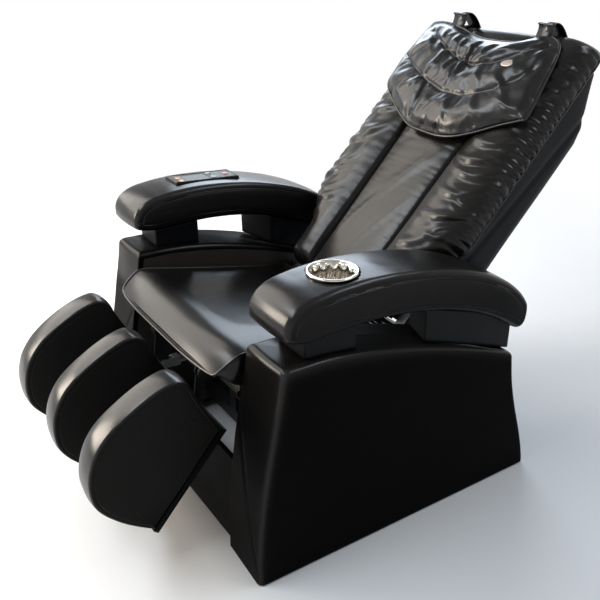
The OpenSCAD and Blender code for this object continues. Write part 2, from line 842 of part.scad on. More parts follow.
module back_shell() {
  stops = [60, 100, 140, 180, 220, 400, back_l - 165, back_l - 105, back_l - 40];
  top = len(stops) - 1;
  color("#101113") back_place() difference() {
    loft([for (z = stops) shell_ring(z, 0)]);
    loft([for (i = [0:top])
      shell_ring(stops[i] - (i == 0 ? 1 : 0) - (i == top ? shell_wall : 0), shell_wall)]);
  }
}

// ---------- massage drive ----------

guide_x = 111;
guide_w = 18;
screw_y = frame_tube / 2;
guide_z0 = low_tube_z + frame_tube;

module guide_rails() {
  color("#8d9196") back_place() both_sides() difference() {
    block([guide_x, 0, guide_z0], [guide_x + guide_w, frame_tube, top_tube_z]);
    block([guide_x - 1, 2.5, guide_z0 - 1], [guide_x + guide_w - 2.5, frame_tube - 2.5, top_tube_z + 1]);
  }
}

module screw_bearings() {
  color("#8d9196") back_place() for (z = [guide_z0, top_tube_z - 16]) difference() {
    block([-17, 0, z], [17, frame_tube, z + 16]);
    translate([0, screw_y, z - 1]) cylinder(h = 18, r = screw_d / 2 - 1 + fit_gap);
  }
}

// Spindle between the bearings, with thinner journals at both ends
module lead_screw() {
  color("#b9bcc0") back_place() translate([0, screw_y, 0]) {
    translate([0, 0, guide_z0 + 0.5]) cylinder(h = top_tube_z - guide_z0 - 1, r = screw_d / 2 - 1);
    translate([0, 0, guide_z0 + 16.5]) cylinder(h = top_tube_z - guide_z0 - 33, r = screw_d / 2);
  }
}

module screw_motor() {
  color("#6c6f74") back_place() {
    block([-24, frame_tube, -6], [24, frame_tube + 30, guide_z0 + 16]);
    translate([0, frame_tube + 24, -60]) cylinder(h = 54, r = 20);
  }
}

carriage_z = 330;
knead_y = 50;
cheek_x = 92;
bridge_y = 68;
arm_hub_x = 50;
roller_dy = -24;
roller_dz = 70;

module carriage_frame() {
  color("#9a9da1") back_place() translate([0, 0, carriage_z]) difference() {
    union() {
      block([-cheek_x - 6, bridge_y, -60], [cheek_x + 6, bridge_y + 4, 60]);
      both_sides() {
        block([cheek_x, 3, -40], [cheek_x + 6, bridge_y, 40]);
        for (z = [-40, 20])
          block([cheek_x + 6, 3, z], [guide_x + guide_w - 3, frame_tube - 3, z + 20]);
      }
      block([-16, 1, -40], [16, bridge_y, -20]);
    }
    bar_x(-cheek_x - 7, cheek_x + 7, knead_y, 0, knead_d / 2 + fit_gap);
    translate([0, screw_y, -41]) cylinder(h = 22, r = screw_d / 2 + fit_gap);
    bar_y(0, 30, bridge_y - 1, bridge_y + 5, 10);
  }
}

// Gear housing round the kneading shaft, with the motor behind the bridge
module massage_motor() {
  color("#6c6f74") back_place() translate([0, 0, carriage_z]) difference() {
    union() {
      block([-28, 36, -18], [28, bridge_y, 50]);
      bar_y(0, 30, bridge_y - 1, bridge_y + 6, 9.8);
      bar_x(-55, 55, bridge_y + 24.5, 30, 20);
    }
    bar_x(-30, 30, knead_y, 0, knead_d / 2 + fit_gap);
  }
}

module kneading_shaft() {
  color("#c3c6ca") back_place() translate([0, 0, carriage_z])
    bar_x(-cheek_x - 12, cheek_x + 12, knead_y, 0, knead_d / 2);
}

// Forked arm that rocks on the kneading shaft and holds two roller axles
module massage_arm() {
  up = [knead_y + roller_dy, roller_dz];
  down = [knead_y + roller_dy, -roller_dz];
  hub = [knead_y, 0];
  back_place() translate([0, 0, carriage_z]) difference() {
    union() {
      plate_yz(arm_hub_x - 5, arm_hub_x + 5) {
        translate(hub) circle(16);
        link(hub, up, 9);
        link(hub, down, 9);
      }
      for (p = [up, down]) bar_x(arm_hub_x, arm_hub_x + 8 + roller_w, p.x, p.y, 5);
    }
    bar_x(arm_hub_x - 6, arm_hub_x + 6, knead_y, 0, knead_d / 2 + fit_gap);
  }
}

module left_massage_arm() {
  color("#9a9da1") massage_arm();
}

module right_massage_arm() {
  color("#9a9da1") mirror([1, 0, 0]) massage_arm();
}

// Rubber roller with rounded rims on a plain bore
module massage_roller(side, up) {
  r = roller_d / 2;
  x0 = arm_hub_x + 6;
  color("#3d2f2a") back_place() mirror([side > 0 ? 0 : 1, 0, 0])
    translate([x0, knead_y + roller_dy, carriage_z + up * roller_dz]) rotate([0, 90, 0])
      rotate_extrude() difference() {
        union() {
          translate([0, 5]) square([r, roller_w - 10]);
          square([r - 5, roller_w]);
          for (y = [5, roller_w - 5]) translate([r - 5, y]) circle(5);
        }
        translate([-50, -1]) square([50 + 5 + fit_gap, roller_w + 2]);
      }
}

module left_upper_roller() {
  massage_roller(1, 1);
}

module left_lower_roller() {
  massage_roller(1, -1);
}

module right_upper_roller() {
  massage_roller(-1, 1);
}

module right_lower_roller() {
  massage_roller(-1, -1);
}

// ---------- head pillow ----------

pillow_x = 12;
pillow_z = back_l - 166;
pillow_half = concat(
  bezier([[0, -151], [95, -151], [150, -108], [228, -60]], 6),
  bezier([[228, -60], [244, -20], [212, 70], [194, 122]], 5),
  bezier([[194, 122], [188, 146], [150, 150], [122, 126]], 4),
  bezier([[122, 126], [95, 112], [45, 110], [0, 112]], 3));
pillow_outline = concat(pillow_half, [[0, 112]],
  [for (i = [len(pillow_half) - 1:-1:1]) [-pillow_half[i].x, pillow_half[i].y]]);

// Ring of the pillow at share f of its outline and height h off the pad
function pillow_ring(f, h) = [for (p = pillow_outline)
  [pillow_x + f * p.x, -pad_crest - soft_gap - h, pillow_z + f * p.y]];

module head_pillow() {
  levels = [[0.93, 0], [1, 8], [0.995, 13], [0.94, pillow_t * 0.62], [0.82, pillow_t * 0.85],
    [0.64, pillow_t * 0.9], [0.6, pillow_t * 0.8], [0.56, pillow_t * 0.92], [0.3, pillow_t]];
  color("#1d1e21") back_place() loft([for (l = levels) pillow_ring(l[0], l[1])], star = true);
}

// ---------- leg rest ----------

module legrest_board() {
  color("#1a1a1c") leg_place() difference() {
    block([-fin_outer + 3, leg_back - leg_board_t, -leg_l], [fin_outer - 3, leg_back, -60]);
    for (x = [-leg_arm_x, leg_arm_x], z = [-100, -220])
      bar_y(x + 14, z, leg_back - leg_board_t - 1, leg_back + 1, 3.2);
  }
}

module leg_eye(lever) {
  down = [sin(leg_lean + leg_lever_turn), -cos(leg_lean + leg_lever_turn)];
  difference() {
    union() {
      circle(eye_r);
      link([0, 0], [48, -74], eye_r - 3);
      translate([leg_back, -250]) square([16, 180]);
      if (lever) link([0, 0], 98.5 * down, 14);
    }
    circle(pin_d / 2 + fit_gap);
    if (lever) slot(83.5 * down, 98.5 * down, leg_slot_r);
    translate([0, -300]) square([leg_back, 240]);
  }
}

// Hinge arms with feet on the board's back, the right one with the drive lever
module legrest_arms() {
  color("#3a3a3d") leg_place() for (s = [-1, 1]) {
    plate_yz(s * leg_arm_x - leg_plate_t / 2, s * leg_arm_x + leg_plate_t / 2) leg_eye(s < 0);
    difference() {
      block([s * leg_arm_x - 22, leg_back, -250], [s * leg_arm_x + 22, leg_back + 3, -84]);
      for (z = [-100, -220]) bar_y(s * leg_arm_x + 14, z, leg_back - 1, leg_back + 4, 3.2);
    }
  }
}

// Side outline of a fin: front is -Y, the flat rear lies on the board
fin_outline = let (b = leg_back - leg_board_t - soft_gap, f = -leg_l) concat(
  bezier([[b, f - 2], [b - 60, f - 14], [b - 120, f - 16], [b - 150, f + 6]], 5),
  bezier([[b - 150, f + 6], [b - 192, f + 38], [b - 211, f + 88], [b - 209, f + 136]], 5),
  bezier([[b - 209, f + 136], [b - 207, f + 181], [b - 180, -42], [-128, -17]], 6),
  bezier([[-128, -17], [-118, -12], [-106, -9], [-97, -13.5]], 3),
  [[-44, -40], [b - 3, -58], [b, -63]]);

function fin_section(x, d) = let (n = len(fin_outline))
  [for (p = inset([for (i = [n - 1:-1:0]) fin_outline[i]], d)) [x, p.x, p.y]];

module fin_body(x0, x1) {
  steps = [[0, 9], [3, 4], [9, 1], [(x1 - x0) / 2, 0], [x1 - x0 - 9, 1], [x1 - x0 - 3, 4], [x1 - x0, 9]];
  leg_place() loft([for (s = steps) fin_section(x0 + s[0], s[1])]);
}

module calf_fins() {
  color("#17181a") {
    fin_body(-mid_fin_w / 2, mid_fin_w / 2);
    fin_body(fin_outer - fin_w, fin_outer);
    fin_body(-fin_outer, -fin_outer + fin_w);
  }
}

// Section of a calf pad at height z, between the middle fin and an outer fin
function calf_ring(z) = let (
  x0 = mid_fin_w / 2 + soft_gap * 2,
  x1 = fin_outer - fin_w - soft_gap * 2,
  b = leg_back - leg_board_t - soft_gap,
  end = rise(z + leg_l - 6, 24) * rise(-64 - z, 24),
  t = calf_pad_t * (0.35 + 0.65 * end))
  concat(
    [for (i = [0:8]) let (u = 1 - 2 * i / 8)
      [(x0 + x1) / 2 + u * (x1 - x0) / 2, b - t * (0.62 + 0.1 * u * u)
        - t * 0.28 * (1 - u * u) * 0.6, z]],
    [[x0, b, z], [x1, b, z]]);

module calf_pads() {
  stops = [-leg_l + 6, -leg_l + 10, -leg_l + 18, -leg_l + 30, -220, -150, -88, -76, -68, -64];
  color("#121314") leg_place() both_sides() loft([for (z = stops) calf_ring(z)]);
}

// ---------- drawing ----------

base_side_rails();
base_cross_tubes();
base_posts();
seat_frame();
seat_board();
seat_cushion();
hinge_plates();
hinge_pins();
kick_panel();
rear_cover();
left_side_panel();
right_side_panel();
inner_boards();
side_bolts();
left_arm_supports();
right_arm_supports();
left_armrest();
right_armrest();
cup_holder();
control_housing();
display_window();
power_key();
knead_key();
tap_key();
recline_key();
control_box();
air_pump();
power_inlet();
power_switch();
roller_forks();
transport_rollers();
floor_glides();
drive_stands();
recline_actuator();
recline_rod();
legrest_actuator();
legrest_rod();
back_uprights();
back_cross_tubes();
recline_lever();
back_pad();
back_shell();
guide_rails();
screw_bearings();
screw_motor();
lead_screw();
carriage_frame();
massage_motor();
kneading_shaft();
left_massage_arm();
right_massage_arm();
left_upper_roller();
left_lower_roller();
right_upper_roller();
right_lower_roller();
head_pillow();
legrest_board();
legrest_arms();
calf_fins();
calf_pads();
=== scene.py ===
"""Looks of the massage chair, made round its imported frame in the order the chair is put
together: room, side panels, arms, cup, hand control, seat, leg rest, back, pillow, works."""
import bmesh
import bpy
import numpy as np
from mathutils import Matrix
from mathutils.bvhtree import BVHTree


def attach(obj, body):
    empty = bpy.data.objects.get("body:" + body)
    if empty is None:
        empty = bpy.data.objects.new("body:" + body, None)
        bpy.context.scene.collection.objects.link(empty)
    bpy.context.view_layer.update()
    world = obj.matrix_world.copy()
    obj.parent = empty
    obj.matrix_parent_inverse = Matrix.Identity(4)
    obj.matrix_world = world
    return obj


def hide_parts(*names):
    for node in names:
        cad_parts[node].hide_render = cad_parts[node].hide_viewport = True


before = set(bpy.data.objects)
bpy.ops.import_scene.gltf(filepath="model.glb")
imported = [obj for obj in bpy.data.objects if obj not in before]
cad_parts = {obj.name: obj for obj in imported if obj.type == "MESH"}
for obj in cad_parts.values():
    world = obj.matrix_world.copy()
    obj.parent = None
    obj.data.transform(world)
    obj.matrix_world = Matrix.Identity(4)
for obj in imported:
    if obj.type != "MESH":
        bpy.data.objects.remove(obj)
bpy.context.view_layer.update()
scene = bpy.context.scene
scene.view_settings.view_transform = "Standard"


# The room. A pale seamless floor runs up into an even pale wall. A cool window stands
# behind the chair's right side and a warm one before it; two soft lamps hang over the
# front, and a narrow one over the rear lights the edges.
class Shade:
    """A value inside a material: arithmetic on it adds Math nodes, node() adds any other."""

    def __init__(self, tree, socket=None):
        self.tree, self.socket = tree, socket

    def node(self, kind, inputs=None, output=0, **settings):
        made = self.tree.nodes.new("ShaderNode" + kind)
        for name, value in settings.items():
            setattr(made, name, value)
        for key, value in (inputs or {}).items():
            if isinstance(value, Shade):
                self.tree.links.new(value.socket, made.inputs[key])
            else:
                made.inputs[key].default_value = value
        return Shade(self.tree, made.outputs[output])

    def maths(self, operation, *others):
        """This value with the others, through a Math node."""
        return self.node("Math", dict(enumerate((self, *others))), operation=operation)

    def mix(self, low, high):
        """Colour between low and high, at this share."""
        return self.node("Mix", {0: self, 6: low, 7: high}, output=2, data_type="RGBA")

    def __add__(self, other):
        return self.maths("ADD", other)

    def __sub__(self, other):
        return self.maths("SUBTRACT", other)

    def __rsub__(self, other):
        return self.node("Math", {0: other, 1: self}, operation="SUBTRACT")

    def __mul__(self, other):
        return self.maths("MULTIPLY", other)

    __radd__, __rmul__ = __add__, __mul__


def hang(name, data):
    """A new object in the scene."""
    made = bpy.data.objects.new(name, data)
    scene.collection.objects.link(made)
    return made


def surface(name, grid, ring=True):
    """Mesh through a grid of points in millimetres: rows join to rows, each row closes into
    a ring, doubles at seams and poles are merged, and the faces are turned outwards."""
    rows, cols = grid.shape[:2]
    i, j = np.meshgrid(np.arange(rows - 1), np.arange(cols if ring else cols - 1), indexing="ij")
    k = (j + 1) % cols
    faces = np.stack([i * cols + j, i * cols + k, (i + 1) * cols + k, (i + 1) * cols + j], -1)
    mesh = bpy.data.meshes.new(name)
    mesh.from_pydata((grid.reshape(-1, 3) * 0.001).tolist(), [], faces.reshape(-1, 4).tolist())
    return closed(name, mesh, ring)


def closed(name, mesh, solid=True):
    """Merges doubles at seams and poles and makes the object."""
    shape = bmesh.new()
    shape.from_mesh(mesh)
    bmesh.ops.remove_doubles(shape, verts=shape.verts, dist=2e-5)
    bmesh.ops.dissolve_degenerate(shape, edges=shape.edges, dist=1e-6)
    if solid:
        bmesh.ops.recalc_face_normals(shape, faces=shape.faces)
    shape.to_mesh(mesh)
    shape.free()
    mesh.polygons.foreach_set("use_smooth", np.ones(len(mesh.polygons), bool))
    return hang(name, mesh)


def material(name):
    """An empty material, and its Object coordinates."""
    made = bpy.data.materials.new(name)
    made.use_nodes = True
    made.node_tree.nodes.clear()
    return made, Shade(made.node_tree).node("TexCoord", output="Object")


def noise(place, scale, detail, **more):
    """Cloudy noise from 0 to 1."""
    return place.node("TexNoise", {"Vector": place, "Scale": scale, "Detail": detail, **more})


def shine(shader, kind="Material"):
    """Joins a shader to the output of its material or of the world."""
    output = shader.tree.nodes.new("ShaderNodeOutput" + kind)
    shader.tree.links.new(shader.socket, output.inputs["Surface"])


def background_rays(tree):
    """1 for rays that should see the pale background plainly, and 0 for the rest."""
    seen, mirrored, through = (tree.node("LightPath", output=f"Is {kind} Ray")
                               for kind in ("Camera", "Glossy", "Transmission"))
    return (seen + mirrored + through).maths("MINIMUM", 1.0)


def xyz(x, y, z):
    """Points from their coordinates; a number or line is spread over the others."""
    return np.stack(np.broadcast_arrays(x, y, z), -1)


FLOOR_HALF = 9000.0
reach = np.linspace(-FLOOR_HALF, FLOOR_HALF, 41)
floor = surface("floor", xyz(*np.meshgrid(reach, reach), 0.0), ring=False)
pale, spot = material("pale_floor")
radius = spot.node("VectorMath", {0: spot}, output=1, operation="LENGTH")
far = spot.node("MapRange", {0: radius, 1: 1.1, 2: 2.6}, interpolation_type="SMOOTHSTEP")
ground = spot.node("BsdfPrincipled", {
    "Base Color": noise(spot, 3.0, 3.0).mix((0.70, 0.70, 0.705, 1), (0.74, 0.74, 0.74, 1)),
    "Roughness": 0.9, "Specular IOR Level": 0.1})
glow = spot.node("Emission", {"Color": (1, 1, 1, 1), "Strength": 1.0})
shine(spot.node("MixShader", {0: far * background_rays(spot), 1: ground, 2: glow}))
floor.data.materials.append(pale)

world = bpy.data.worlds.new("pale_room")
scene.world = world
world.use_nodes = True
world.node_tree.nodes.clear()
sky = Shade(world.node_tree)
plain = background_rays(sky)
height = sky.node("SeparateXYZ", {0: sky.node("TexCoord", output="Generated")}, output="Z")
upper = sky.node("MapRange", {0: height, 1: 0.12, 2: 0.5}, interpolation_type="SMOOTHSTEP")
shine(sky.node("Background", {"Color": plain.mix((0.92, 0.95, 1, 1), (1, 1, 1, 1)),
                              "Strength": plain * (0.7 - upper * 0.55) + 0.3}), "World")


def unit(v):
    """The same directions, one long."""
    return v / np.linalg.norm(v, axis=-1, keepdims=True)


for name, place, aim, size, watts, tint in (
        ("window_lamp", (-2.7, 2.0, 2.1), (0, 0.1, 0.6), (2.2, 1.5), 70, (0.76, 0.87, 1.0)),
        ("front_lamp", (-1.95, -2.55, 1.2), (0, -0.2, 0.4), (1.0, 1.3), 95, (1.0, 0.89, 0.76)),
        ("soft_lamp", (-2.3, -1.15, 2.1), (0, 0.3, 0.75), (2.0, 2.2), 72, (1.0, 0.94, 0.86)),
        ("high_lamp", (-0.6, -1.9, 2.9), (0, 0.2, 0.6), (2.6, 0.9), 78, (0.88, 0.94, 1.0)),
        ("edge_lamp", (1.2, 1.6, 2.9), (0.2, 0, 0.5), (1.9, 0.5), 30, (0.85, 0.92, 1.0))):
    lamp = bpy.data.lights.new(name, "AREA")
    lamp.shape, lamp.size, lamp.size_y = "RECTANGLE", *size
    lamp.energy, lamp.color = watts, tint
    hung = hang(name, lamp)
    hung.location = place
    toward = unit(np.subtract(place, aim))
    flat = unit(np.cross((0, 0, 1), toward))
    axes = np.column_stack([flat, np.cross(toward, flat), toward])
    hung.rotation_euler = Matrix(axes.tolist()).to_euler()

EYE, FOCAL, SENSOR = (1.3638, -0.9016, 1.1556), 776.39 / 600, 36
azimuth, elevation = np.radians((56.9073, 25.6920))
right = np.array([np.cos(azimuth), np.sin(azimuth), 0])
ahead = np.array([-np.sin(azimuth) * np.cos(elevation), np.cos(azimuth) * np.cos(elevation),
                  -np.sin(elevation)])
eye = np.eye(4)
eye[:3, :3] = np.column_stack([right, np.cross(right, ahead), -ahead])
eye[:3, 3] = EYE
camera = hang("camera", bpy.data.cameras.new("camera"))
camera.data.sensor_width, camera.data.lens = SENSOR, SENSOR * FOCAL
camera.matrix_world = Matrix(eye.tolist())
scene.camera = camera


# Side panels. Each is a foam-padded board 135 mm thick under one tight skin of black
# imitation leather, stapled underneath. Its front is pinched along a slanting crease.
SIDES = ("left", 1), ("right", -1)
OPENING, PANEL_OUT, ARM_OUT = 255.0, 390.0, 400.0
FRONT, REAR, PANEL_H, TAIL = -361.0, 371.03, 464.0, 326.0


def bezier(points, count):
    """Cubic curve through its end points, pulled towards the two between them."""
    t = np.linspace(0, 1, count)[:, None]
    p = np.array(points, float)
    return ((1 - t) ** 3 * p[0] + 3 * (1 - t) ** 2 * t * p[1] + 3 * (1 - t) * t * t * p[2]
            + t ** 3 * p[3])


def smooth(t):
    """From 0 to 1 along an S as t goes from 0 to 1."""
    t = np.clip(t, 0, 1)
    return t * t * (3 - 2 * t)


def bell(x, width):
    """1 where x is 0, falling away on both sides of it."""
    return np.exp(-(x / width) ** 2)


def degrees(first, last, count):
    """Even steps of angle, as radians."""
    return np.radians(np.linspace(first, last, count))


def read(piece, what):
    """A value of each vertex of a piece, its place or normal, as rows of three."""
    values = np.empty(len(piece.data.vertices) * 3, np.float32)
    piece.data.vertices.foreach_get(what, values)
    return values.reshape(-1, 3)


def points_of(piece):
    """Where a piece's vertices are, in millimetres."""
    return read(piece, "co").astype(float) * 1000


def ripple(points, size, seed):
    """Gentle unevenness from -1 to 1: the mean of nine waves of about that size, each
    running its own way."""
    rng = np.random.RandomState(seed)
    total = 0
    for _ in range(9):
        way = unit(rng.normal(size=3))
        length, shift = size * rng.uniform(0.7, 1.5), rng.uniform(0, 6.3)
        total = total + np.sin(points @ way * 2 * np.pi / length + shift)
    return total / 4.5


def outward(grid, ring=True):
    """Unit normals of a grid from the differences between its neighbours, turned away
    from the grid's middle."""
    beside = np.roll(grid, -1, 1) - np.roll(grid, 1, 1) if ring else np.gradient(grid, axis=1)
    n = np.cross(np.gradient(grid, axis=0), beside)
    n /= np.maximum(np.linalg.norm(n, axis=-1, keepdims=True), 1e-9)
    return n if (n * (grid - grid.reshape(-1, 3).mean(0))).sum() > 0 else -n


def uneven(grid, large, small, inset):
    """A skin that is nowhere quite flat: it goes in and out by a large and a small ripple,
    each a height, size and seed, and in by the inset."""
    waves = [height * ripple(grid, size, seed)[..., None] for height, size, seed in (large, small)]
    return grid + outward(grid) * (waves[0] + waves[1] - inset)


def glaze(place, strength, distance, height, sockets):
    """Joins a shader with these sockets to the output, under a bump of that height."""
    bump = place.node("Bump", {"Strength": strength, "Distance": distance, "Height": height})
    shine(place.node("BsdfPrincipled", {**sockets, "Normal": bump}))


def leather(name, colour, warm, rough, level, crease=0.3, coat=0.0):
    """Grained imitation leather. Pebbles of about a millimetre and finer pores make the
    bump, with stretched creases; slow noise varies colour and gloss; wear polishes edges.
    A thin clear coat gives the shine, except where a face is marked dull."""
    made, place = material(name)
    dull = place.node("Attribute", output="Fac", attribute_name="dull")
    worn = place.node("Attribute", output="Fac", attribute_name="wear")
    pebble = place.node("TexVoronoi", {"Vector": place, "Scale": 620.0, "Randomness": 0.9},
                        feature="SMOOTH_F1")
    pore = noise(place, 1700.0, 2.0)
    cloud = noise(place, 7.0, 4.0)
    fold = (noise(place, 42.0, 3.0, Distortion=1.4) - 0.5).maths("ABSOLUTE")
    line = (1 - fold * 16.0).maths("MAXIMUM", 0.0)
    shade = cloud.mix((*colour, 1), (*warm, 1))
    shade = (worn * 0.35).mix(shade, (0.07, 0.065, 0.06, 1))
    gloss = (cloud - 0.5) * 0.22 + rough + pebble * 0.05 - worn * 0.05 + dull * 0.3
    glaze(place, 0.8, 0.00013, pebble * 0.5 + pore * 0.2 - line * (4 * crease), {
        "Base Color": shade, "Roughness": gloss, "Specular IOR Level": level,
        "Coat Weight": (1 - dull) * coat, "Coat Roughness": 0.24})
    return made


def mark(piece, name, amount):
    """Keeps how worn or dull each point is, as an attribute that the leather reads."""
    made = piece.data.attributes.new(name, "FLOAT", "POINT")
    made.data.foreach_set("value", np.asarray(amount, np.float32))


def dull_sides(piece, share=1.0, more=None):
    """Marks faces that look sideways as dull: the flat side pieces have a matt finish.
    more takes the normals and points and gives further dull places."""
    normal = read(piece, "normal")
    value = smooth((np.abs(normal[:, 0]) - 0.78) / 0.16) * share
    if more:
        value = np.maximum(value, more(normal, points_of(piece)))
    mark(piece, "dull", value)


def dress(piece, finish, body, slot, *stands_for, fill=None):
    """Gives a new piece its material, the body it rides on and the CAD nodes it stands for."""
    piece.data.materials.clear()
    piece.data.materials.append(finish)
    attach(piece, body)
    if stands_for:
        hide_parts(*stands_for)
    return piece


panel_leather = leather("panel_leather", (0.0014, 0.0013, 0.0014), (0.0028, 0.0024, 0.0022),
                        0.36, 0.035, crease=0.12, coat=0.24)
front_edge = bezier([[FRONT, 3], [FRONT, 200], [FRONT + 44, PANEL_H - 134],
                     [FRONT + 62, PANEL_H - 3]], 80)
rear_edge = bezier([[REAR, 3], [REAR - 6, 90], [REAR - 68, 180], [REAR - 83, TAIL]], 80)
top_edge = np.vstack([
    [FRONT - 10, PANEL_H], [FRONT + 64, PANEL_H],
    bezier([[FRONT + 94, PANEL_H - 1], [FRONT + 269, PANEL_H + 2], [REAR - 208, TAIL + 58],
            [REAR - 83, TAIL]], 60),
    [REAR + 10, TAIL - 46]])


def panel_top(y):
    """Height of the panel's top edge at a depth."""
    return np.interp(y, top_edge[:, 0], top_edge[:, 1])


def panel_front(z):
    """Depth of the panel's front edge at a height."""
    return np.interp(z, front_edge[:, 1], front_edge[:, 0])


def panel_grid(side):
    """A plan ring of a rounded rectangle, lifted from the floor to the top curve. Below and
    above, the ring shrinks onto the panel's middle line, rounded over at the top."""
    n_side, n_end, n_arc = 110, 30, 7
    a = degrees(0, 90, n_arc)
    inner, outer_turn, inner_turn = OPENING + 0.5, 13.0, 4.0
    mid = (inner + PANEL_OUT) / 2

    def half(x_wall, turn):
        """Across, inwards from the end and from front to rear: one half of the ring, from
        the middle of the front end, round one side, to the middle of the rear end."""
        edge = x_wall - np.sign(x_wall - mid) * turn
        into = np.sign(x_wall - mid) * turn * (1 - np.sin(a))
        x = np.concatenate([np.linspace(mid, edge, n_end)[:-1], x_wall - into,
                            np.full(n_side - 2, x_wall), x_wall - into[::-1],
                            np.linspace(edge, mid, n_end)[1:]])
        arc, flat = turn * (1 - np.cos(a)), np.zeros(n_end - 1)
        off = np.concatenate([flat, arc, np.full(n_side - 2, turn), arc[::-1], flat])
        t = np.clip((np.arange(len(x)) - (n_end + n_arc - 2)) / (n_side - 1), 0, 1)
        return np.array([x, off, t])

    outer, inward = half(PANEL_OUT, outer_turn), half(inner, inner_turn)
    x, off, t = np.hstack([outer, inward[:, ::-1][:, 1:-1]])
    half_w, round_top = (PANEL_OUT - inner) / 2, 15.0
    rows = [(0.0, half_w * k, 0.0) for k in (1, 0.7, 0.35, 0.08, 0.03)]
    levels = np.concatenate([[0.0, 0.006], np.linspace(0.02, 0.9, 46), np.linspace(0.91, 1, 12)])
    rows += [(v, 0.0, 0.0) for v in levels]
    arc = degrees(10, 90, 8)
    rows += [(1.0, round_top * (1 - np.cos(q)), round_top * np.sin(q)) for q in arc]
    rows += [(1.0, round_top + (half_w - round_top) * k, round_top) for k in np.linspace(0.06, 1, 16)]
    grid = []
    for v, shrink, lift in rows:
        y_top = (FRONT + 63 + off) * (1 - t) + (REAR - 83 - off) * t
        z = 3 + v * (panel_top(y_top) - round_top - 3)
        f, b = panel_front(z), np.interp(z, rear_edge[:, 1], rear_edge[:, 0])
        y = (f + off) * (1 - t) + (b - off) * t
        share = shrink / half_w
        x_in = mid + (x - mid) * (1 - share)
        line = (f + half_w) * (1 - t) + (b - half_w) * t
        grid.append(xyz(x_in, y + (line - y) * share, z + lift))
    grid = np.array(grid)
    x, y, z = grid[..., 0], grid[..., 1], grid[..., 2]
    u = (x - inner) / (PANEL_OUT - inner)
    front_face = smooth((panel_front(z) + 26 - y) / 22)
    crease = np.clip((330 - z) / 330, 0, 1) ** 0.85 * 1.02
    pinch = 7 * np.maximum(0, crease - u) + 2.4 * bell(u - crease, 0.035) * (z < 320) * smooth(z / 40)
    full = 4.0 * np.sin(np.pi * np.clip(u, 0, 1)) * smooth((z - 300) / 150)
    grid[..., 1] = y + front_face * pinch - front_face * (full - 1.2)
    loose = smooth((z - 5) / 25)[..., None]
    grid += (uneven(grid, (0.55, 210, 11 + side), (0.22, 62, 31 + side), 0.6) - grid) * loose
    grid[..., 0] *= side
    return grid


for word, side in SIDES:
    panel = surface(word + "_panel_skin", panel_grid(side))
    at = points_of(panel)
    edge = np.abs(np.abs(at[:, 0]) - PANEL_OUT)
    mark(panel, "wear", bell(panel_top(at[:, 1]) - at[:, 2], 16) * bell(edge, 14) * 0.8
         + bell(at[:, 1] - panel_front(at[:, 2]), 12) * bell(edge, 12) * 0.6)
    dull_sides(panel, more=lambda n, at: smooth((n[:, 2] - 0.9) / 0.08) * smooth((at[:, 1] + 262) / 20)
               + 0.8 * smooth((-n[:, 1] - 0.8) / 0.15) * smooth((395 - at[:, 2]) / 40))
    dress(panel, panel_leather, "base", "leather_black", word + "_side_panel", fill=0.95)


# Arms. Each is a crescent of foam on plywood: one long strip of leather runs over the
# top and round the nose, sewn to two flat side pieces, with puckers where it is eased in.
def chain(start, *spans):
    """Cubic curves end to end from a start: each span is the two points that pull, the
    point it ends in, and how many points it gives."""
    line = np.array([start], float)
    for *points, count in spans:
        line = np.vstack([line, bezier([line[-1], *points], count)[1:]])
    return line


ARM_FRONT, ARM_REAR, ARM_TOP = -300.0, 309.03, 600.0
arm_leather = leather("arm_leather", (0.0017, 0.0017, 0.0020), (0.0033, 0.0030, 0.0028),
                      0.30, 0.05, crease=0.16, coat=0.42)
arm_upper = chain(
    [ARM_FRONT, ARM_TOP - 65],
    ([ARM_FRONT, ARM_TOP - 35], [ARM_FRONT + 23, ARM_TOP - 10], [ARM_FRONT + 77, ARM_TOP - 5], 40),
    ([ARM_FRONT + 248, ARM_TOP + 20], [ARM_REAR - 65, PANEL_H + 96], [ARM_REAR, PANEL_H - 24], 120))
arm_lower = np.vstack([[ARM_FRONT, ARM_TOP - 65], chain(
    [ARM_FRONT + 1, PANEL_H + 58],
    ([ARM_FRONT + 8, PANEL_H + 46], [ARM_FRONT + 43, PANEL_H + 40], [ARM_FRONT + 68, PANEL_H + 41], 30),
    ([ARM_FRONT + 248, PANEL_H + 56], [ARM_REAR - 185, PANEL_H + 26], [ARM_REAR - 36, PANEL_H - 76], 90),
    ([ARM_REAR - 10, PANEL_H - 92], [ARM_REAR + 10, PANEL_H - 64], [ARM_REAR, PANEL_H - 24], 40))])


def along(curve):
    """The length of a curve up to each of its points."""
    return np.concatenate([[0], np.cumsum(np.linalg.norm(np.diff(curve, axis=0), axis=1))])


def resample(curve, count):
    """The same curve as points at equal steps of its length."""
    length = along(curve)
    s = np.linspace(0, length[-1], count)
    return np.stack([np.interp(s, length, curve[:, k]) for k in range(curve.shape[1])], -1)


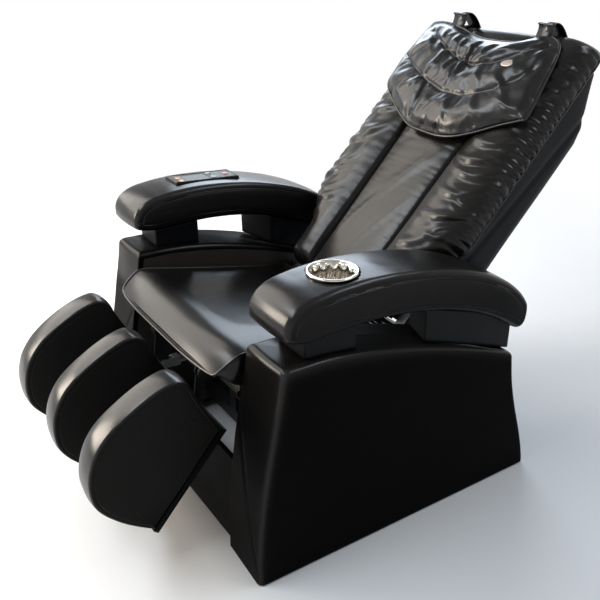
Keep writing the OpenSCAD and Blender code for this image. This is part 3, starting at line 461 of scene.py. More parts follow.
def boxed(lower, upper, x0, x1, turn, crown, count=170, seam=1.3, face_crown=2.0, strip_rows=13,
          ends=0.14, blur=9):
    """A boxed cushion: a strip as wide as x0..x1 runs round the closed side outline lower +
    upper and turns over by a quarter circle on to two faces, which close on the outline's
    middle line. A narrow groove beside each turned edge is the seam.
    Gives the grid, and each row's kind: its angle over the edge, or how far it is in."""
    low, up = resample(lower, count), resample(upper, count)
    outline = np.vstack([low, up[::-1][1:-1]])
    middle = resample((low + up) / 2, count)
    t = ends + (1 - 2 * ends) * np.linspace(0, 1, count)
    spine_half = np.stack([np.interp(t, np.linspace(0, 1, count), middle[:, k]) for k in (0, 1)], -1)
    spine = np.vstack([spine_half, spine_half[::-1][1:-1]])
    tangent = np.roll(outline, -1, 0) - np.roll(outline, 1, 0)
    normal = np.stack([-tangent[:, 1], tangent[:, 0]], -1)
    kernel = np.hanning(2 * blur + 3)[1:-1]
    padded = np.vstack([normal[-blur:], normal, normal[:blur]])
    normal = unit(np.stack([np.convolve(padded[:, k], kernel, "valid") for k in (0, 1)], -1))
    strip_mid, top = (x0 + x1) / 2, turn - face_crown
    face = [(1, 0), (0.8, 0), (0.6, 0), (0.42, 0), (0.27, 0), (0.16, 0), (0.09, 0), (0.06, 0.1),
            (0.045, 0.6), (0.036, 1), (0.027, 0.6), (0.012, 0.1), (0, 0)]
    rows = [(turn, k, x0 + face_crown * (1 - np.sin(np.pi / 2 * min(1, k * 2.2))) + seam * groove, 2 + k)
            for k, groove in face]
    rows += [(turn * (1 - np.cos(q)), 0, x0 + face_crown + top * (1 - np.sin(q)), q)
             for q in degrees(78, 0, 8)]
    wide = (x1 - x0) / 2 - turn
    strip = [(-crown * (1 - (x / wide) ** 2), 0, strip_mid + x, 0)
             for x in np.linspace(-wide, wide, strip_rows)[1:-1]]
    far = [(d, k, x0 + x1 - x, kind) for d, k, x, kind in rows[::-1]]
    grid, kinds = [], []
    for d, k, x, kind in rows + strip + far:
        ring = outline + normal * (d + crown)
        ring = ring + (spine - ring) * k
        grid.append(xyz(x, *ring.T))
        kinds.append(kind)
    return np.array(grid), np.array(kinds)


def puckered(grid, kinds, where, pitch, height):
    """Adds small even folds across the turned edges of a boxed cushion where the mask is 1."""
    length = along(grid[len(grid) // 2])
    wave = np.abs(np.sin(np.pi * length / pitch + 0.9 * np.sin(length / 23))) ** 0.7 - 0.6
    on_edge = np.where(kinds > 1.99, bell(kinds - 2, 0.05) * 0.6, smooth(kinds / 0.9))
    push = on_edge[:, None] * where[None, :] * wave[None, :] * height
    return grid + outward(grid) * push[..., None]


def cut(piece, tool):
    """Takes the tool's shape out of a piece, and removes the tool."""
    hole = piece.modifiers.new("hole", "BOOLEAN")
    hole.operation, hole.object, hole.solver = "DIFFERENCE", tool, "EXACT"
    done = piece.evaluated_get(bpy.context.evaluated_depsgraph_get())
    mesh = bpy.data.meshes.new_from_object(done)
    piece.modifiers.clear()
    piece.data = mesh
    bpy.data.objects.remove(tool)
    return piece


def circle(count):
    """Even angles once round."""
    return np.linspace(0, 2 * np.pi, count, endpoint=False)


def turned(name, profile, centre, count=96, wave=0.0, waves=0):
    """A turned form: the profile of (radius, height) goes round a vertical axis. wave draws
    every radius marked by a third value in and out that many times round."""
    profile = np.array([p if len(p) == 3 else (*p, 0) for p in profile], float)
    q = circle(count)
    bend = 0.5 - 0.5 * np.cos(waves * q) if waves else np.zeros_like(q)
    r = profile[:, :1] - wave * profile[:, 2:] * bend[None, :]
    grid = xyz(r * np.cos(q), r * np.sin(q), profile[:, 1:2])
    return surface(name, grid + np.array(centre))


ARM_X, ARM_HALF = (OPENING + ARM_OUT) / 2, (ARM_OUT - OPENING) / 2
CUP_Y, CUP_TOP, CUP_BORE, FLANGE_BORE = ARM_FRONT + 143, ARM_TOP + 2, 43.4, 50.5
PAD, PAD_X, PAD_Y, PAD_DEEP = ((-331.5, -85.0, 598.5), 3.2), 32.6, 84.6, 16.3


def placed(points, own):
    """Points of a piece's own frame (origin, lean), leaned back about X and set at the origin."""
    origin, lean = own
    c, s = np.cos(np.radians(lean)), np.sin(np.radians(lean))
    x, y, z = points[..., 0], points[..., 1], points[..., 2]
    return xyz(x, y * c + z * s, z * c - y * s) + np.array(origin)


def rounded_plate(half_x, half_y, r, levels, count=12):
    """Grid of a plate with rounded corners: one ring for each level (inset, height), the
    first and last shrunk on to the middle."""
    q = np.linspace(0, np.pi / 2, count)
    corners = []
    for k, (sx, sy) in enumerate(((1, 1), (-1, 1), (-1, -1), (1, -1))):
        a = q + k * np.pi / 2
        corners.append(np.stack([sx * (half_x - r) + r * np.cos(a),
                                 sy * (half_y - r) + r * np.sin(a)], -1))
    ring = np.vstack(corners)
    grid = []
    for inset, z in levels:
        share = np.array([1 - inset / half_x, 1 - inset / half_y])
        grid.append(xyz(*(ring * np.maximum(share, 0.0)).T, z))
    return np.array(grid)


arm_grid, arm_kinds = boxed(arm_lower, arm_upper, OPENING + 0.5, ARM_OUT - 0.5, 17.0, 2.5, seam=1.6)
outline_y, outline_z = arm_grid[len(arm_grid) // 2][:, 1], arm_grid[len(arm_grid) // 2][:, 2]
nose = smooth((ARM_FRONT + 60 - outline_y) / 50) * smooth((ARM_TOP - 12 - outline_z) / 40)
tail = smooth((outline_y - ARM_REAR + 60) / 50) * 0.6
arm_grid = puckered(arm_grid, arm_kinds, np.clip(nose + tail, 0, 1), 8.5, 1.8)
for word, side in SIDES:
    grid = uneven(arm_grid, (0.8, 190, 5 + side), (0.25, 48, 17 + side), 0.5)
    grid[..., 0] = np.clip(grid[..., 0], OPENING + 0.3, ARM_OUT) * side
    arm = surface(word + "_arm_skin", grid)
    if side > 0:
        bore = [(0, 8), (FLANGE_BORE, 8), (FLANGE_BORE, -5.3), (CUP_BORE, -5.3), (CUP_BORE, -66),
                (0, -66)]
        arm = cut(arm, turned("cup_bore", bore, (ARM_X, CUP_Y, CUP_TOP)))
    else:
        half = PAD_X + 1
        pocket = rounded_plate(half, PAD_Y + 1, 2, [(half, 14), (0, 14), (0, -PAD_DEEP),
                                                    (half, -PAD_DEEP)])
        arm = cut(arm, surface("pad_pocket", placed(pocket, PAD)))
    at = points_of(arm)
    nearest = np.abs(np.abs(np.abs(at[:, 0]) - ARM_X) - ARM_HALF)
    mark(arm, "wear", bell(nearest, 15) * smooth((at[:, 2] - 470) / 120) * 0.5)
    dull_sides(arm, share=0.8)
    dress(arm, arm_leather, "base", "leather_black", word + "_armrest", fill=0.9)


# Arm posts. Two leather-covered blocks under each arm carry it on the side panel and
# leave a window between them; the rear one is cut back on its window side.
block_leather = leather("block_leather", (0.0036, 0.0042, 0.0056), (0.0058, 0.0064, 0.0078),
                        0.5, 0.07, crease=0.1, coat=0.1)


def arm_under(y):
    """Height of the arm's under edge at a depth."""
    return np.interp(y, arm_lower[2:, 0][:110], arm_lower[2:, 1][:110])


def post_grid(y0, y1, x0, x1, slant):
    """A block whose plan is a rounded rectangle, from the panel's top curve to the arm's
    under curve; rings at both ends shrink on to the middle."""
    plate = rounded_plate((x1 - x0) / 2, (y1 - y0) / 2, 6, [(0, 0)])[0]
    x, y = plate[:, 0] + (x0 + x1) / 2, plate[:, 1] + (y0 + y1) / 2
    y = y + slant * smooth((y1 - y) / (y1 - y0)) * (x1 - x) / (x1 - x0)
    share = np.array([1, 0.5, 0.03] + [0] * 11 + [0.03, 0.5, 1])[:, None]
    v = np.concatenate([[0, 0, 0, 0.03], np.linspace(0.1, 0.9, 9), [0.97, 1, 1, 1]])[:, None]
    x, y = x + (x.mean() - x) * share, y + (y.mean() - y) * share
    low, high = panel_top(y) + 0.5, np.minimum(arm_under(y), PANEL_H + 60) - 0.6
    grid = xyz(x, y, low + (high - low) * v)
    return grid + outward(grid) * 0.4 * ripple(grid, 40, 3)[..., None]


for word, side in SIDES:
    for end, span, slant in (("front", (FRONT + 118, FRONT + 232), 0),
                             ("rear", (38.0, ARM_REAR - 20), 40)):
        grid = post_grid(*span, OPENING + 22, PANEL_OUT - 20, slant)
        grid[..., 0] *= side
        post = surface(f"{word}_{end}_post", grid)
        dress(post, block_leather, "base", "arm_blocks", word + "_arm_supports", fill=0.95)


# Cup holder. A drawn and chromed cup with a rolled flange; its wall is pressed into
# fourteen upright flutes.
FLUTES = 14
chrome, place = material("chrome_plate")
smear = noise(place, 60.0, 4.0)
glaze(place, 0.05, 0.0001, noise(place, 900.0, 2.0), {
    "Base Color": smear.mix((0.58, 0.55, 0.50, 1), (0.72, 0.69, 0.64, 1)), "Metallic": 1.0,
    "Roughness": smear * 0.12 + 0.07})
lip = [(45.9 + 2.9 * np.cos(a), -1.4 + 2.9 * np.sin(a)) for a in degrees(-50, 200, 22)]
wall = [(42.6, -2.8), (41.9, -3.6, 0.5), (41.6, -4.6, 1), (41.3, -20, 1), (40.9, -40, 1), (40.2, -56, 1),
        (38.4, -60.2, 0.6), (34, -61.8)]
outside = [(0, -65), (41, -65), (42.8, -63), (42.8, -4.9), (47.6, -4.9)]
floor_rings = [(30, -61.9), (29, -60.6), (18, -60.6), (17, -61.6), (0, -61.6)]
cup = turned("cup", outside + lip + wall + floor_rings, (ARM_X, CUP_Y, CUP_TOP),
             count=24 * FLUTES, wave=2.6, waves=FLUTES)
dress(cup, chrome, "base", "chrome", "cup_holder")


# Hand control. A moulded housing let into the right arm, with a ridged thumb end, a
# tinted display, four round keys in rings and plain printed marks.
def plastic(name, colour, second, rough, grit=500.0, level=0.5):
    """Moulded plastic: a spark-eroded skin, a little cloudiness, and a duller rubbed gloss."""
    made, place = material(name)
    cloud = noise(place, 14.0, 3.0)
    glaze(place, 0.6, 0.00012, noise(place, grit, 3.0), {
        "Base Color": cloud.mix((*colour, 1), (*second, 1)), "Roughness": (cloud - 0.5) * 0.2 + rough,
        "Specular IOR Level": level})
    return made


def softened(node, width, segments=3):
    """A copy of a CAD node whose doubles are merged and whose sharp edges get a small round."""
    shape = bmesh.new()
    shape.from_mesh(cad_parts[node].data)
    bmesh.ops.remove_doubles(shape, verts=shape.verts, dist=1e-6)
    bmesh.ops.dissolve_limit(shape, angle_limit=np.radians(1), verts=shape.verts, edges=shape.edges)
    mesh = bpy.data.meshes.new(node + "_moulding")
    shape.to_mesh(mesh)
    shape.free()
    piece = hang(node + "_moulding", mesh)
    edge = piece.modifiers.new("edge", "BEVEL")
    edge.width, edge.segments = width, segments
    edge.limit_method, edge.angle_limit, edge.harden_normals = "ANGLE", np.radians(35), False
    mesh.polygons.foreach_set("use_smooth", np.ones(len(mesh.polygons), bool))
    sharp = piece.modifiers.new("flats", "WEIGHTED_NORMAL")
    sharp.keep_sharp = True
    return piece


pad_plastic = plastic("pad_plastic", (0.008, 0.0085, 0.009), (0.014, 0.0145, 0.015), 0.45, level=0.3)
trim_plastic = plastic("trim_plastic", (0.004, 0.004, 0.0045), (0.008, 0.008, 0.0085), 0.32, level=0.35)
face_plastic = plastic("face_plastic", (0.075, 0.092, 0.080), (0.12, 0.14, 0.125), 0.5, grit=240.0,
                       level=0.15)
mark_white = plastic("mark_white", (0.32, 0.33, 0.32), (0.40, 0.40, 0.39), 0.5)
mark_red = plastic("mark_red", (0.45, 0.03, 0.02), (0.55, 0.05, 0.03), 0.45)
key_grey = plastic("key_grey", (0.16, 0.17, 0.18), (0.22, 0.23, 0.24), 0.4)
key_orange = plastic("key_orange", (0.55, 0.19, 0.02), (0.62, 0.24, 0.03), 0.4)
key_red = plastic("key_red", (0.52, 0.035, 0.03), (0.62, 0.06, 0.045), 0.36)


def on_pad(name, grid, finish, body="base", slot="black_plastic", *stands_for):
    """A dressed piece whose grid is given in the hand control's own frame."""
    return dress(surface(name, placed(grid, PAD)), finish, body, slot, *stands_for)


housing = softened("control_housing", 0.0016)
dress(housing, pad_plastic, "base", "black_plastic", "control_housing")
rim = [(0, 0.0), (0, 0.8), (0.5, 1.5), (1.6, 1.8), (2.8, 1.5), (3.4, 0.7), (3.4, 0.0)]
on_pad("pad_rim", rounded_plate(PAD_X, PAD_Y, 4, rim + rim[:1]), trim_plastic)
face = rounded_plate(28.8, 34.2, 3, [(28.8, 0.0), (0, 0.0), (0, 0.25), (0.25, 0.4), (28.8, 0.4)])
on_pad("key_face", face + np.array([0, 46.6, 0]), face_plastic)
patch = rounded_plate(28.8, 8.6, 2, [(8.6, 0.0), (0, 0.0), (0, 0.25), (0.25, 0.4), (8.6, 0.42)])
on_pad("thumb_patch", patch + np.array([0, -64.5, 0]), face_plastic)
patch = rounded_plate(9.5, 4.5, 1.5, [(4.5, 0.4), (0, 0.4), (0, 0.6), (0.25, 0.7), (4.5, 0.72)])
on_pad("warm_patch", patch + np.array([18.0, -66.5, 0]), key_orange, "base", "orange_key")
KEYS = {"power_key": (0, -68, key_orange, "orange_key"), "knead_key": (-16, 22, key_grey, "grey_key"),
        "tap_key": (16, 22, key_grey, "grey_key"), "recline_key": (0, 62, key_red, "red_key")}
turn = circle(40)
cap = [(0, -6), (6.7, -6), (6.9, -5.8), (6.9, 1.1), (6.6, 1.7), (6.0, 1.95), (4.6, 1.8), (2.6, 1.5),
       (0, 1.4)]
collar = [(7.3, 0.0), (7.4, 0.6), (7.9, 1.0), (8.8, 0.9), (9.3, 0.3), (9.3, -0.05), (7.3, -0.05),
          (7.3, 0.0)]
for node, (kx, ky, finish, slot) in KEYS.items():
    for name, profile in ((node + "_cap", cap), (node + "_collar", collar)):
        r, h = np.array(profile).T[..., None]
        grid = xyz(r * np.cos(turn) + kx, r * np.sin(turn) + ky, h)
        if profile is cap:
            on_pad(name, grid, finish, node, slot, node)
        else:
            on_pad(name, grid, trim_plastic)
for k in range(4):
    bar = rounded_plate(30, 0.9, 0.8, [(0.9, 0.0), (0, 0.0), (0, 1.4), (0.3, 1.8), (0.9, 1.9)], count=4)
    on_pad(f"thumb_rib_{k}", bar + np.array([0, -82.0 + k * 2.6, 0]), trim_plastic)
for k in range(5):
    dot = rounded_plate(1.4, 1.4, 1.3, [(1.4, 0.3), (0, 0.3), (0, 0.55), (0.2, 0.65), (1.4, 0.7)], count=4)
    on_pad(f"lamp_dot_{k}", dot + np.array([-25.6, -46 + k * 14, 0]), mark_red, "base", "red_key")
for k, (mx, my, half_x, half_y) in enumerate((
        (-16, 34.5, 4, 0.6), (16, 34.5, 0.6, 3), (16, 34.5, 3, 0.6), (0, 75, 8, 0.6), (-19, 62, 0.6, 7),
        (19, 62, 0.6, 7), (-22, 46, 3.4, 0.6), (22, 46, 3.4, 0.6), (-12, 46, 3.4, 0.6), (12, 46, 3.4, 0.6),
        (26, -40, 0.6, 5), (26, -22, 0.6, 5), (26, -4, 0.6, 5))):
    half = min(half_x, half_y)
    bar = rounded_plate(half_x, half_y, 0.4,
                        [(half, 0.3), (0, 0.3), (0, 0.55), (0.12, 0.62), (half, 0.64)], count=3)
    on_pad(f"pad_mark_{k}", bar + np.array([mx, my, 0]), mark_white, "base", "grey_key")


def finish_node(name, finish):
    """Gives a CAD node, whose shape is kept, its material."""
    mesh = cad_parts[name].data
    mesh.materials.clear()
    mesh.materials.append(finish)


tinted, place = material("display_glass")
haze = noise(place, 45.0, 2.0)
lines = place.node("TexWave", {"Vector": place, "Scale": 210.0}, bands_direction="X")
glaze(place, 0.15, 0.0001, lines, {
    "Base Color": haze.mix((0.05, 0.062, 0.055, 1), (0.10, 0.105, 0.085, 1)),
    "Roughness": haze * 0.1 + 0.38, "Specular IOR Level": 0.12, "Coat Weight": 0.03,
    "Coat Roughness": 0.1})
finish_node("display_window", tinted)


# Seat cushion. One leather top over foam rolls down the front edge and is welted to the
# cloth underside; it is blown up as cloth under air pressure to get its crown.
SEAT, SEAT_L = ((0, -354.0, 447.0), 12.0), 447.0


def rounded(inside, r):
    """A quarter circle: 0 on the edge, 1 from r inside it."""
    return np.sqrt(np.clip(1 - (1 - np.clip(inside, 0, r) / r) ** 2, 0, 1))


def move_to(piece, points):
    """Puts a piece's vertices at these points in millimetres."""
    piece.data.vertices.foreach_set("co", (points * 0.001).astype(np.float32).ravel())
    piece.data.update()


def puff(piece, pressure, grow, cap, pinned=None, frames=20, stiff=15.0, bend=0.6):
    """Cloth under air pressure: swells the closed skin for some frames while its fabric
    grows a little; then no point lies further than cap millimetres from where it began."""
    start_at = points_of(piece)
    cloth = piece.modifiers.new("air", "CLOTH")
    if pinned is not None:
        seams = piece.vertex_groups.new(name="seams")
        seams.add(np.flatnonzero(pinned).tolist(), 1.0, "REPLACE")
        cloth.settings.vertex_group_mass = "seams"
    cloth.settings.quality = 5
    cloth.settings.mass = 0.25
    cloth.settings.tension_stiffness = cloth.settings.compression_stiffness = stiff
    cloth.settings.shear_stiffness = stiff / 3
    cloth.settings.bending_stiffness = bend
    cloth.settings.use_pressure = True
    cloth.settings.uniform_pressure_force = pressure
    cloth.settings.shrink_min = -grow
    cloth.settings.effector_weights.gravity = 0
    cloth.point_cache.frame_start, cloth.point_cache.frame_end = 1, frames
    for step in range(1, frames + 1):
        scene.frame_set(step)
    move = points_of(piece.evaluated_get(bpy.context.evaluated_depsgraph_get())) - start_at
    size = np.linalg.norm(move, axis=1, keepdims=True)
    move *= np.minimum(1, cap / np.maximum(size, 1e-6))
    piece.modifiers.clear()
    piece.vertex_groups.clear()
    scene.frame_set(1)
    move_to(piece, start_at + move)
    print(piece.name, "moved by at most", round(float(size.max()), 1), "mm")


def seat_half(s):
    """Half the seat's width at s from its front edge: drawn in a little in the middle, and
    at the front corners."""
    return OPENING - 13 - 5 * np.sin(np.pi * s / SEAT_L) - 11 * (1 - np.clip(s, 0, 45) / 45) ** 2.2


def rise(s):
    """How far the side seam has climbed from the front's under edge."""
    return 1 - (1 - np.clip(s, 0, 64) / 64) ** 2


def seat_grid():
    """A ring across the seat for each distance s from its front edge: a crowned top whose
    edges roll over, and a flat underside drawn up to the corners at the front."""
    s = np.concatenate([[0] * 4, [0.25, 0.8, 1.6, 2.6], 70 * (1 - np.cos(degrees(20, 90, 16))),
                        np.linspace(75, SEAT_L - 26, 58), SEAT_L - 24 * (1 - np.sin(degrees(6, 90, 9))),
                        [SEAT_L] * 3])
    close = np.concatenate([[1, 0.66, 0.33, 0.08], np.zeros(4 + 16 + 58 + 9), [0.3, 0.7, 1]])
    front = 1 - (1 - np.clip(s, 0, 70) / 70) ** 2.3
    rear = rounded(SEAT_L - s, 24)
    half = seat_half(s) - 10 * (1 - rear)
    mid = 6.0 - 50 * (1 - front) - 24 * (1 - rear)
    seam = -50 + 48 * rise(s) - 20 * (1 - rear)
    lip = rounded(s, 3)
    under = -56 - 4 * lip - 15 * smooth((s - 3) / 48) + 10 * (1 - rear)
    bow = 7 * (1 - smooth(s / 85))
    u = np.cos(np.pi * np.arange(0, 105) / 104)
    low = -np.cos(np.pi * np.arange(1, 60) / 60)
    grid = []
    for k in range(len(s)):
        away = np.abs(u) ** (9 - 5.5 * (1 - front[k]))
        upper = xyz(half[k] * u, s[k], mid[k] - (mid[k] - seam[k]) * away)
        base = np.minimum(under[k] + bow[k] * low ** 4 + 3 * low ** 2, seam[k] - 2 * lip[k])
        lower = xyz(half[k] * 0.99 * low, s[k], base)
        ring = np.vstack([upper, lower])
        if close[k]:
            level = np.interp(ring[:, 0], lower[:, 0], lower[:, 2]) * 0.5 + np.interp(
                ring[:, 0], upper[::-1, 0], upper[::-1, 2]) * 0.5
            inner = xyz(ring[:, 0] * (1 - 0.02 * close[k]), ring[:, 1], level)
            ring = ring + (inner - ring) * close[k]
        ring[:, 1] += bowed(ring[:, 0], ring[:, 1])
        grid.append(ring)
    return np.array(grid)


def bowed(x, s):
    """How far the front edge lies back of its middle, most at the corners."""
    return 10 * np.clip(np.abs(x) / 232, 0, 1.1) ** 3 * (1 - smooth(s / 120))


seat_leather = leather("seat_leather", (0.0018, 0.0019, 0.0023), (0.0038, 0.0034, 0.0031),
                       0.30, 0.06, crease=0.12, coat=0.38)
seat = surface("seat_skin", placed(seat_grid(), SEAT))


def unplaced(points, own):
    """Points of the chair's frame in a leaned piece's own frame."""
    return placed(points - np.array(own[0]), ((0, 0, 0), -own[1]))


at = unplaced(points_of(seat), SEAT)
flat_under = ((at[:, 2] < -60) & (at[:, 1] > 90)) | (np.abs(at[:, 1] - bowed(at[:, 0], 2.0) - 2) < 1.5)
puff(seat, 2.6, 0.0, 3.5, flat_under, frames=10, stiff=60.0, bend=12.0)
at = points_of(seat)
dip = unplaced(at, SEAT)
on_top = smooth((dip[:, 2] + 12) / 12)
sag = -3.0 * np.exp(-(dip[:, 0] / 170) ** 2 - ((dip[:, 1] - 260) / 150) ** 2)
soft = 0.35 * ripple(dip, 170, 61) + 0.08 * ripple(dip, 40, 62)
dip[:, 2] += on_top * (sag + soft)
move_to(seat, placed(dip, SEAT))
mark(seat, "wear", bell(dip[:, 1] - 14, 30) * on_top * 0.4)
dress(seat, seat_leather, "base", "leather_black", "seat_cushion", fill=0.8)


def capped(path, grid):
    """The rings of a grid along a path, with one more on each end drawn on to its point."""
    spread = np.ones((1, grid.shape[1], 1))
    return np.concatenate([path[:1, None] * spread, grid, path[-1:, None] * spread])


def tube(name, path, r, loop=False):
    """A round cord along a path: a circle square to the path at each point, closed on to
    the path's ends, or joined end to end."""
    path = np.array(path, float)
    tangent = unit(np.roll(path, -1, 0) - np.roll(path, 1, 0) if loop else np.gradient(path, axis=0))
    side_a = unit(np.cross(tangent, [0.13, 0.21, 0.97]))
    side_b = np.cross(tangent, side_a)
    q = circle(10)
    ring = side_a[:, None] * np.cos(q)[None, :, None] + side_b[:, None] * np.sin(q)[None, :, None]
    grid = path[:, None] + r * ring
    return surface(name, np.concatenate([grid, grid[:1]]) if loop else capped(path, grid))


def against(piece, path, lift):
    """The path's points moved on to the piece's skin, and lift millimetres off it."""
    tree = BVHTree.FromObject(piece, bpy.context.evaluated_depsgraph_get())
    found = [tree.find_nearest((np.array(p) * 0.001).tolist())[:2] for p in path]
    return np.array([(np.array(place) + np.array(normal) * lift * 0.001) * 1000
                     for place, normal in found])


def stitches(name, path, pitch, length, r):
    """A row of thread stitches: small spindles of six sides, one for each step along a path."""
    spots = resample(path, max(3, int(along(path)[-1] / pitch)))
    tangent = unit(np.gradient(spots, axis=0))
    side_a = unit(np.cross(tangent, np.array([0.31, 0.17, 0.93])))
    side_b = np.cross(tangent, side_a)
    q = circle(6)
    t, fat = np.array([-0.5, -0.3, 0.3, 0.5]) * length, np.array([0.25, 1, 1, 0.25]) * r
    ring = side_a[:, None, None] * np.cos(q)[:, None] + side_b[:, None, None] * np.sin(q)[:, None]
    ring = ring * fat[:, None, None]
    points = spots[:, None, None] + tangent[:, None, None] * t[:, None, None] + ring
    count = len(spots)
    i, j, k = np.meshgrid(np.arange(count), np.arange(3), np.arange(6), indexing="ij")
    beside, row = (k + 1) % 6, i * 24 + j * 6
    sides = np.stack([row + k, row + beside, row + 6 + beside, row + 6 + k], -1)
    caps = [list(range(b, b + 6))[::-1] for b in range(0, count * 24, 24)] + [
        list(range(b + 18, b + 24)) for b in range(0, count * 24, 24)]
    mesh = bpy.data.meshes.new(name)
    mesh.from_pydata((points.reshape(-1, 3) * 0.001).tolist(), [], sides.reshape(-1, 4).tolist() + caps)
    return closed(name, mesh)


thread = plastic("thread", (0.10, 0.097, 0.09), (0.16, 0.155, 0.145), 0.6, grit=2500.0)
welt_leather = leather("welt_leather", (0.003, 0.003, 0.0033), (0.006, 0.0055, 0.005),
                       0.3, 0.2, crease=0.1, coat=0.4)
u = np.linspace(-1, 1, 90)
front_line = xyz(u * 229, 1.0, -55 + 5 * u ** 4)
s = np.linspace(5, 425, 90)
side_line = xyz(seat_half(s) - 1, s, -50 + 47 * rise(s))
for line in (front_line, side_line):
    line[:, 1] += bowed(line[:, 0], line[:, 1])
path = resample(np.vstack([side_line[::-1] * [-1, 1, 1], front_line, side_line]), 300)
kernel = np.ones(5) / 5
path = against(seat, placed(path, SEAT), 1.2)
path[2:-2] = np.stack([np.convolve(path[:, k], kernel, "valid") for k in range(3)], -1)
welt = tube("seat_welt", path, 2.4)
dress(welt, welt_leather, "base", "leather_black")
above = against(seat, path[75:225] + np.array([0, -2.0, 7.0]), 0.4)
seam = stitches("seat_stitches", above, 6.5, 4.6, 0.6)
dress(seam, thread, "base", "leather_black")


# Leg rest. Three deep fins of foam and board, each with a leather strip round its rim
# between two side pieces, and two padded wells for the calves between them.
LEG, LEG_L, LEG_BACK = ((0, -322.0, 337.0), 41.3), 302.0, 23.7
fin_leather = leather("fin_leather", (0.0016, 0.0016, 0.0019), (0.0033, 0.0030, 0.0027),
                      0.30, 0.05, crease=0.12, coat=0.5)
b, f = LEG_BACK, -LEG_L
fin_front = chain(
    [b, f + 2], ([b - 60, f - 8], [b - 122, f - 8], [b - 156, f + 12], 40),
    ([b - 198, f + 42], [b - 221, f + 90], [b - 217, f + 140], 50),
    ([b - 213, f + 184], [b - 184, -38], [-130, -15], 60), ([-114, -8], [-98, -9], [-85, -18], 20),
    ([-54, -34], [b - 26, -51], [b, -63], 20))
fin_rear = np.array([[b, f + 2], [b, -63]])
for k, (x0, x1) in enumerate(((-235, -170), (-30, 30), (170, 235))):
    grid, kinds = boxed(fin_rear, fin_front, x0 + 0.2, x1 - 0.2, 7.5, 1.6, count=150, seam=1.0,
                        face_crown=1.5, strip_rows=11, ends=0.2, blur=7)
    rim_y = grid[len(grid) // 2][:, 1]
    eased = smooth((b - 90 - rim_y) / 60) * 0.5
    grid = puckered(grid, kinds, eased, 9.0, 0.7)
    grid = uneven(grid, (0.7, 120, 40 + k), (0.2, 36, 50 + k), 0.5)
    grid[..., 1] = np.minimum(grid[..., 1], LEG_BACK - 0.2)
    fin = surface(f"calf_fin_{k}", placed(grid, LEG))
    at = points_of(fin)
    nearest = np.abs(np.abs(at[:, 0] - (x0 + x1) / 2) - (x1 - x0) / 2)
    mark(fin, "wear", bell(nearest, 9) * smooth((at[:, 2] - 60) / 120) * 0.45)
    dull_sides(fin)
    dress(fin, fin_leather, "legrest", "leather_black", "calf_fins", fill=0.9)


def calf_grid(side):
    """A well pad: a ring across the well for each height, full in the middle and drawn in
    at both ends, with a shallow trough down its front where the calf lies."""
    x0, x1 = 31.2, 169.2
    z = np.concatenate([[f + 8] * 3, f + 8 + 26 * (1 - np.cos(degrees(8, 90, 10))),
                        np.linspace(f + 44, -100, 50), -68 - 26 * (1 - np.sin(degrees(8, 90, 10))),
                        [-68] * 3])
    shrink = np.concatenate([[1, 0.5, 0.1], np.zeros(70), [0.1, 0.5, 1]])
    end = rounded(z - f - 6, 28) * rounded(-64 - z, 28)
    u = np.linspace(1, -1, 60)
    grid = []
    for k in range(len(z)):
        t = 56 * (0.35 + 0.65 * end[k])
        front = b - t * (0.60 + 0.12 * np.abs(u) ** 2.5 + 0.16 * (1 - u * u) * 0.6)
        front += 7 * np.clip((np.abs(u) - 0.93) / 0.07, 0, 1) ** 2
        quilt = 1.6 * np.abs(np.sin(np.pi * (z[k] - f) / 58)) ** 0.5
        front = front - quilt * (1 - u ** 4)
        upper = xyz((x0 + x1) / 2 + u * (x1 - x0) / 2, front, z[k])
        ring = np.vstack([upper, xyz(np.linspace(x0, x1, 22), b - 0.2, z[k])])
        middle = np.array([(x0 + x1) / 2, b - 0.35 * t, z[k]])
        grid.append(ring + (middle - ring) * shrink[k])
    grid = np.array(grid)
    grid[..., 0] *= side
    return grid


calf_cloth = leather("calf_cloth", (0.0018, 0.0018, 0.0020), (0.0033, 0.0031, 0.0030),
                     0.5, 0.05, crease=0.3)
for word, side in SIDES:
    pad = surface(word + "_calf_pad", placed(calf_grid(side), LEG))
    dress(pad, calf_cloth, "legrest", "calf_cloth", "calf_pads", fill=0.75)


# Back rest pad. One soft cover is stitched down along two channels, so that two bolsters
# stand up on either side of a flatter centre panel; its edges are gathered on a side seam.
BACK, BACK_L = ((0, 118.03, 359.96), 43.0), 735.0
CREST, BACK_REAR, EDGE, LOW_HALF = 85.0, 14.0, 5.0, 190.0


def back_channels(z):
    """Where the two sewn channels run across the pad at a height."""
    return -94.0, 97 + 23 * z / BACK_L


def back_half(z):
    """Half the pad's width at a height: narrow between the arms, wide above them."""
    wider = (OPENING + 7 - LOW_HALF) * smooth((z - 80) / 145)
    return LOW_HALF + wider - 22 * (1 - rounded(BACK_L - z, 30))


def folds(x, z, table):
    """Creases: each (x, z, turn, length, width, height, bend) is a ridge with a hollow
    beside it, bent like a crescent and dying away at its ends."""
    total = np.zeros_like(x)
    for cx, cz, turn, length, width, height, bend in table:
        c, sn = np.cos(np.radians(turn)), np.sin(np.radians(turn))
        a = (x - cx) * c + (z - cz) * sn
        d = (z - cz) * c - (x - cx) * sn + bend * (a / length) ** 2 * length
        total += height * bell(a, length) * (1.2 * (d / width) * bell(d, width) + 0.6 * bell(d, width))
    return total


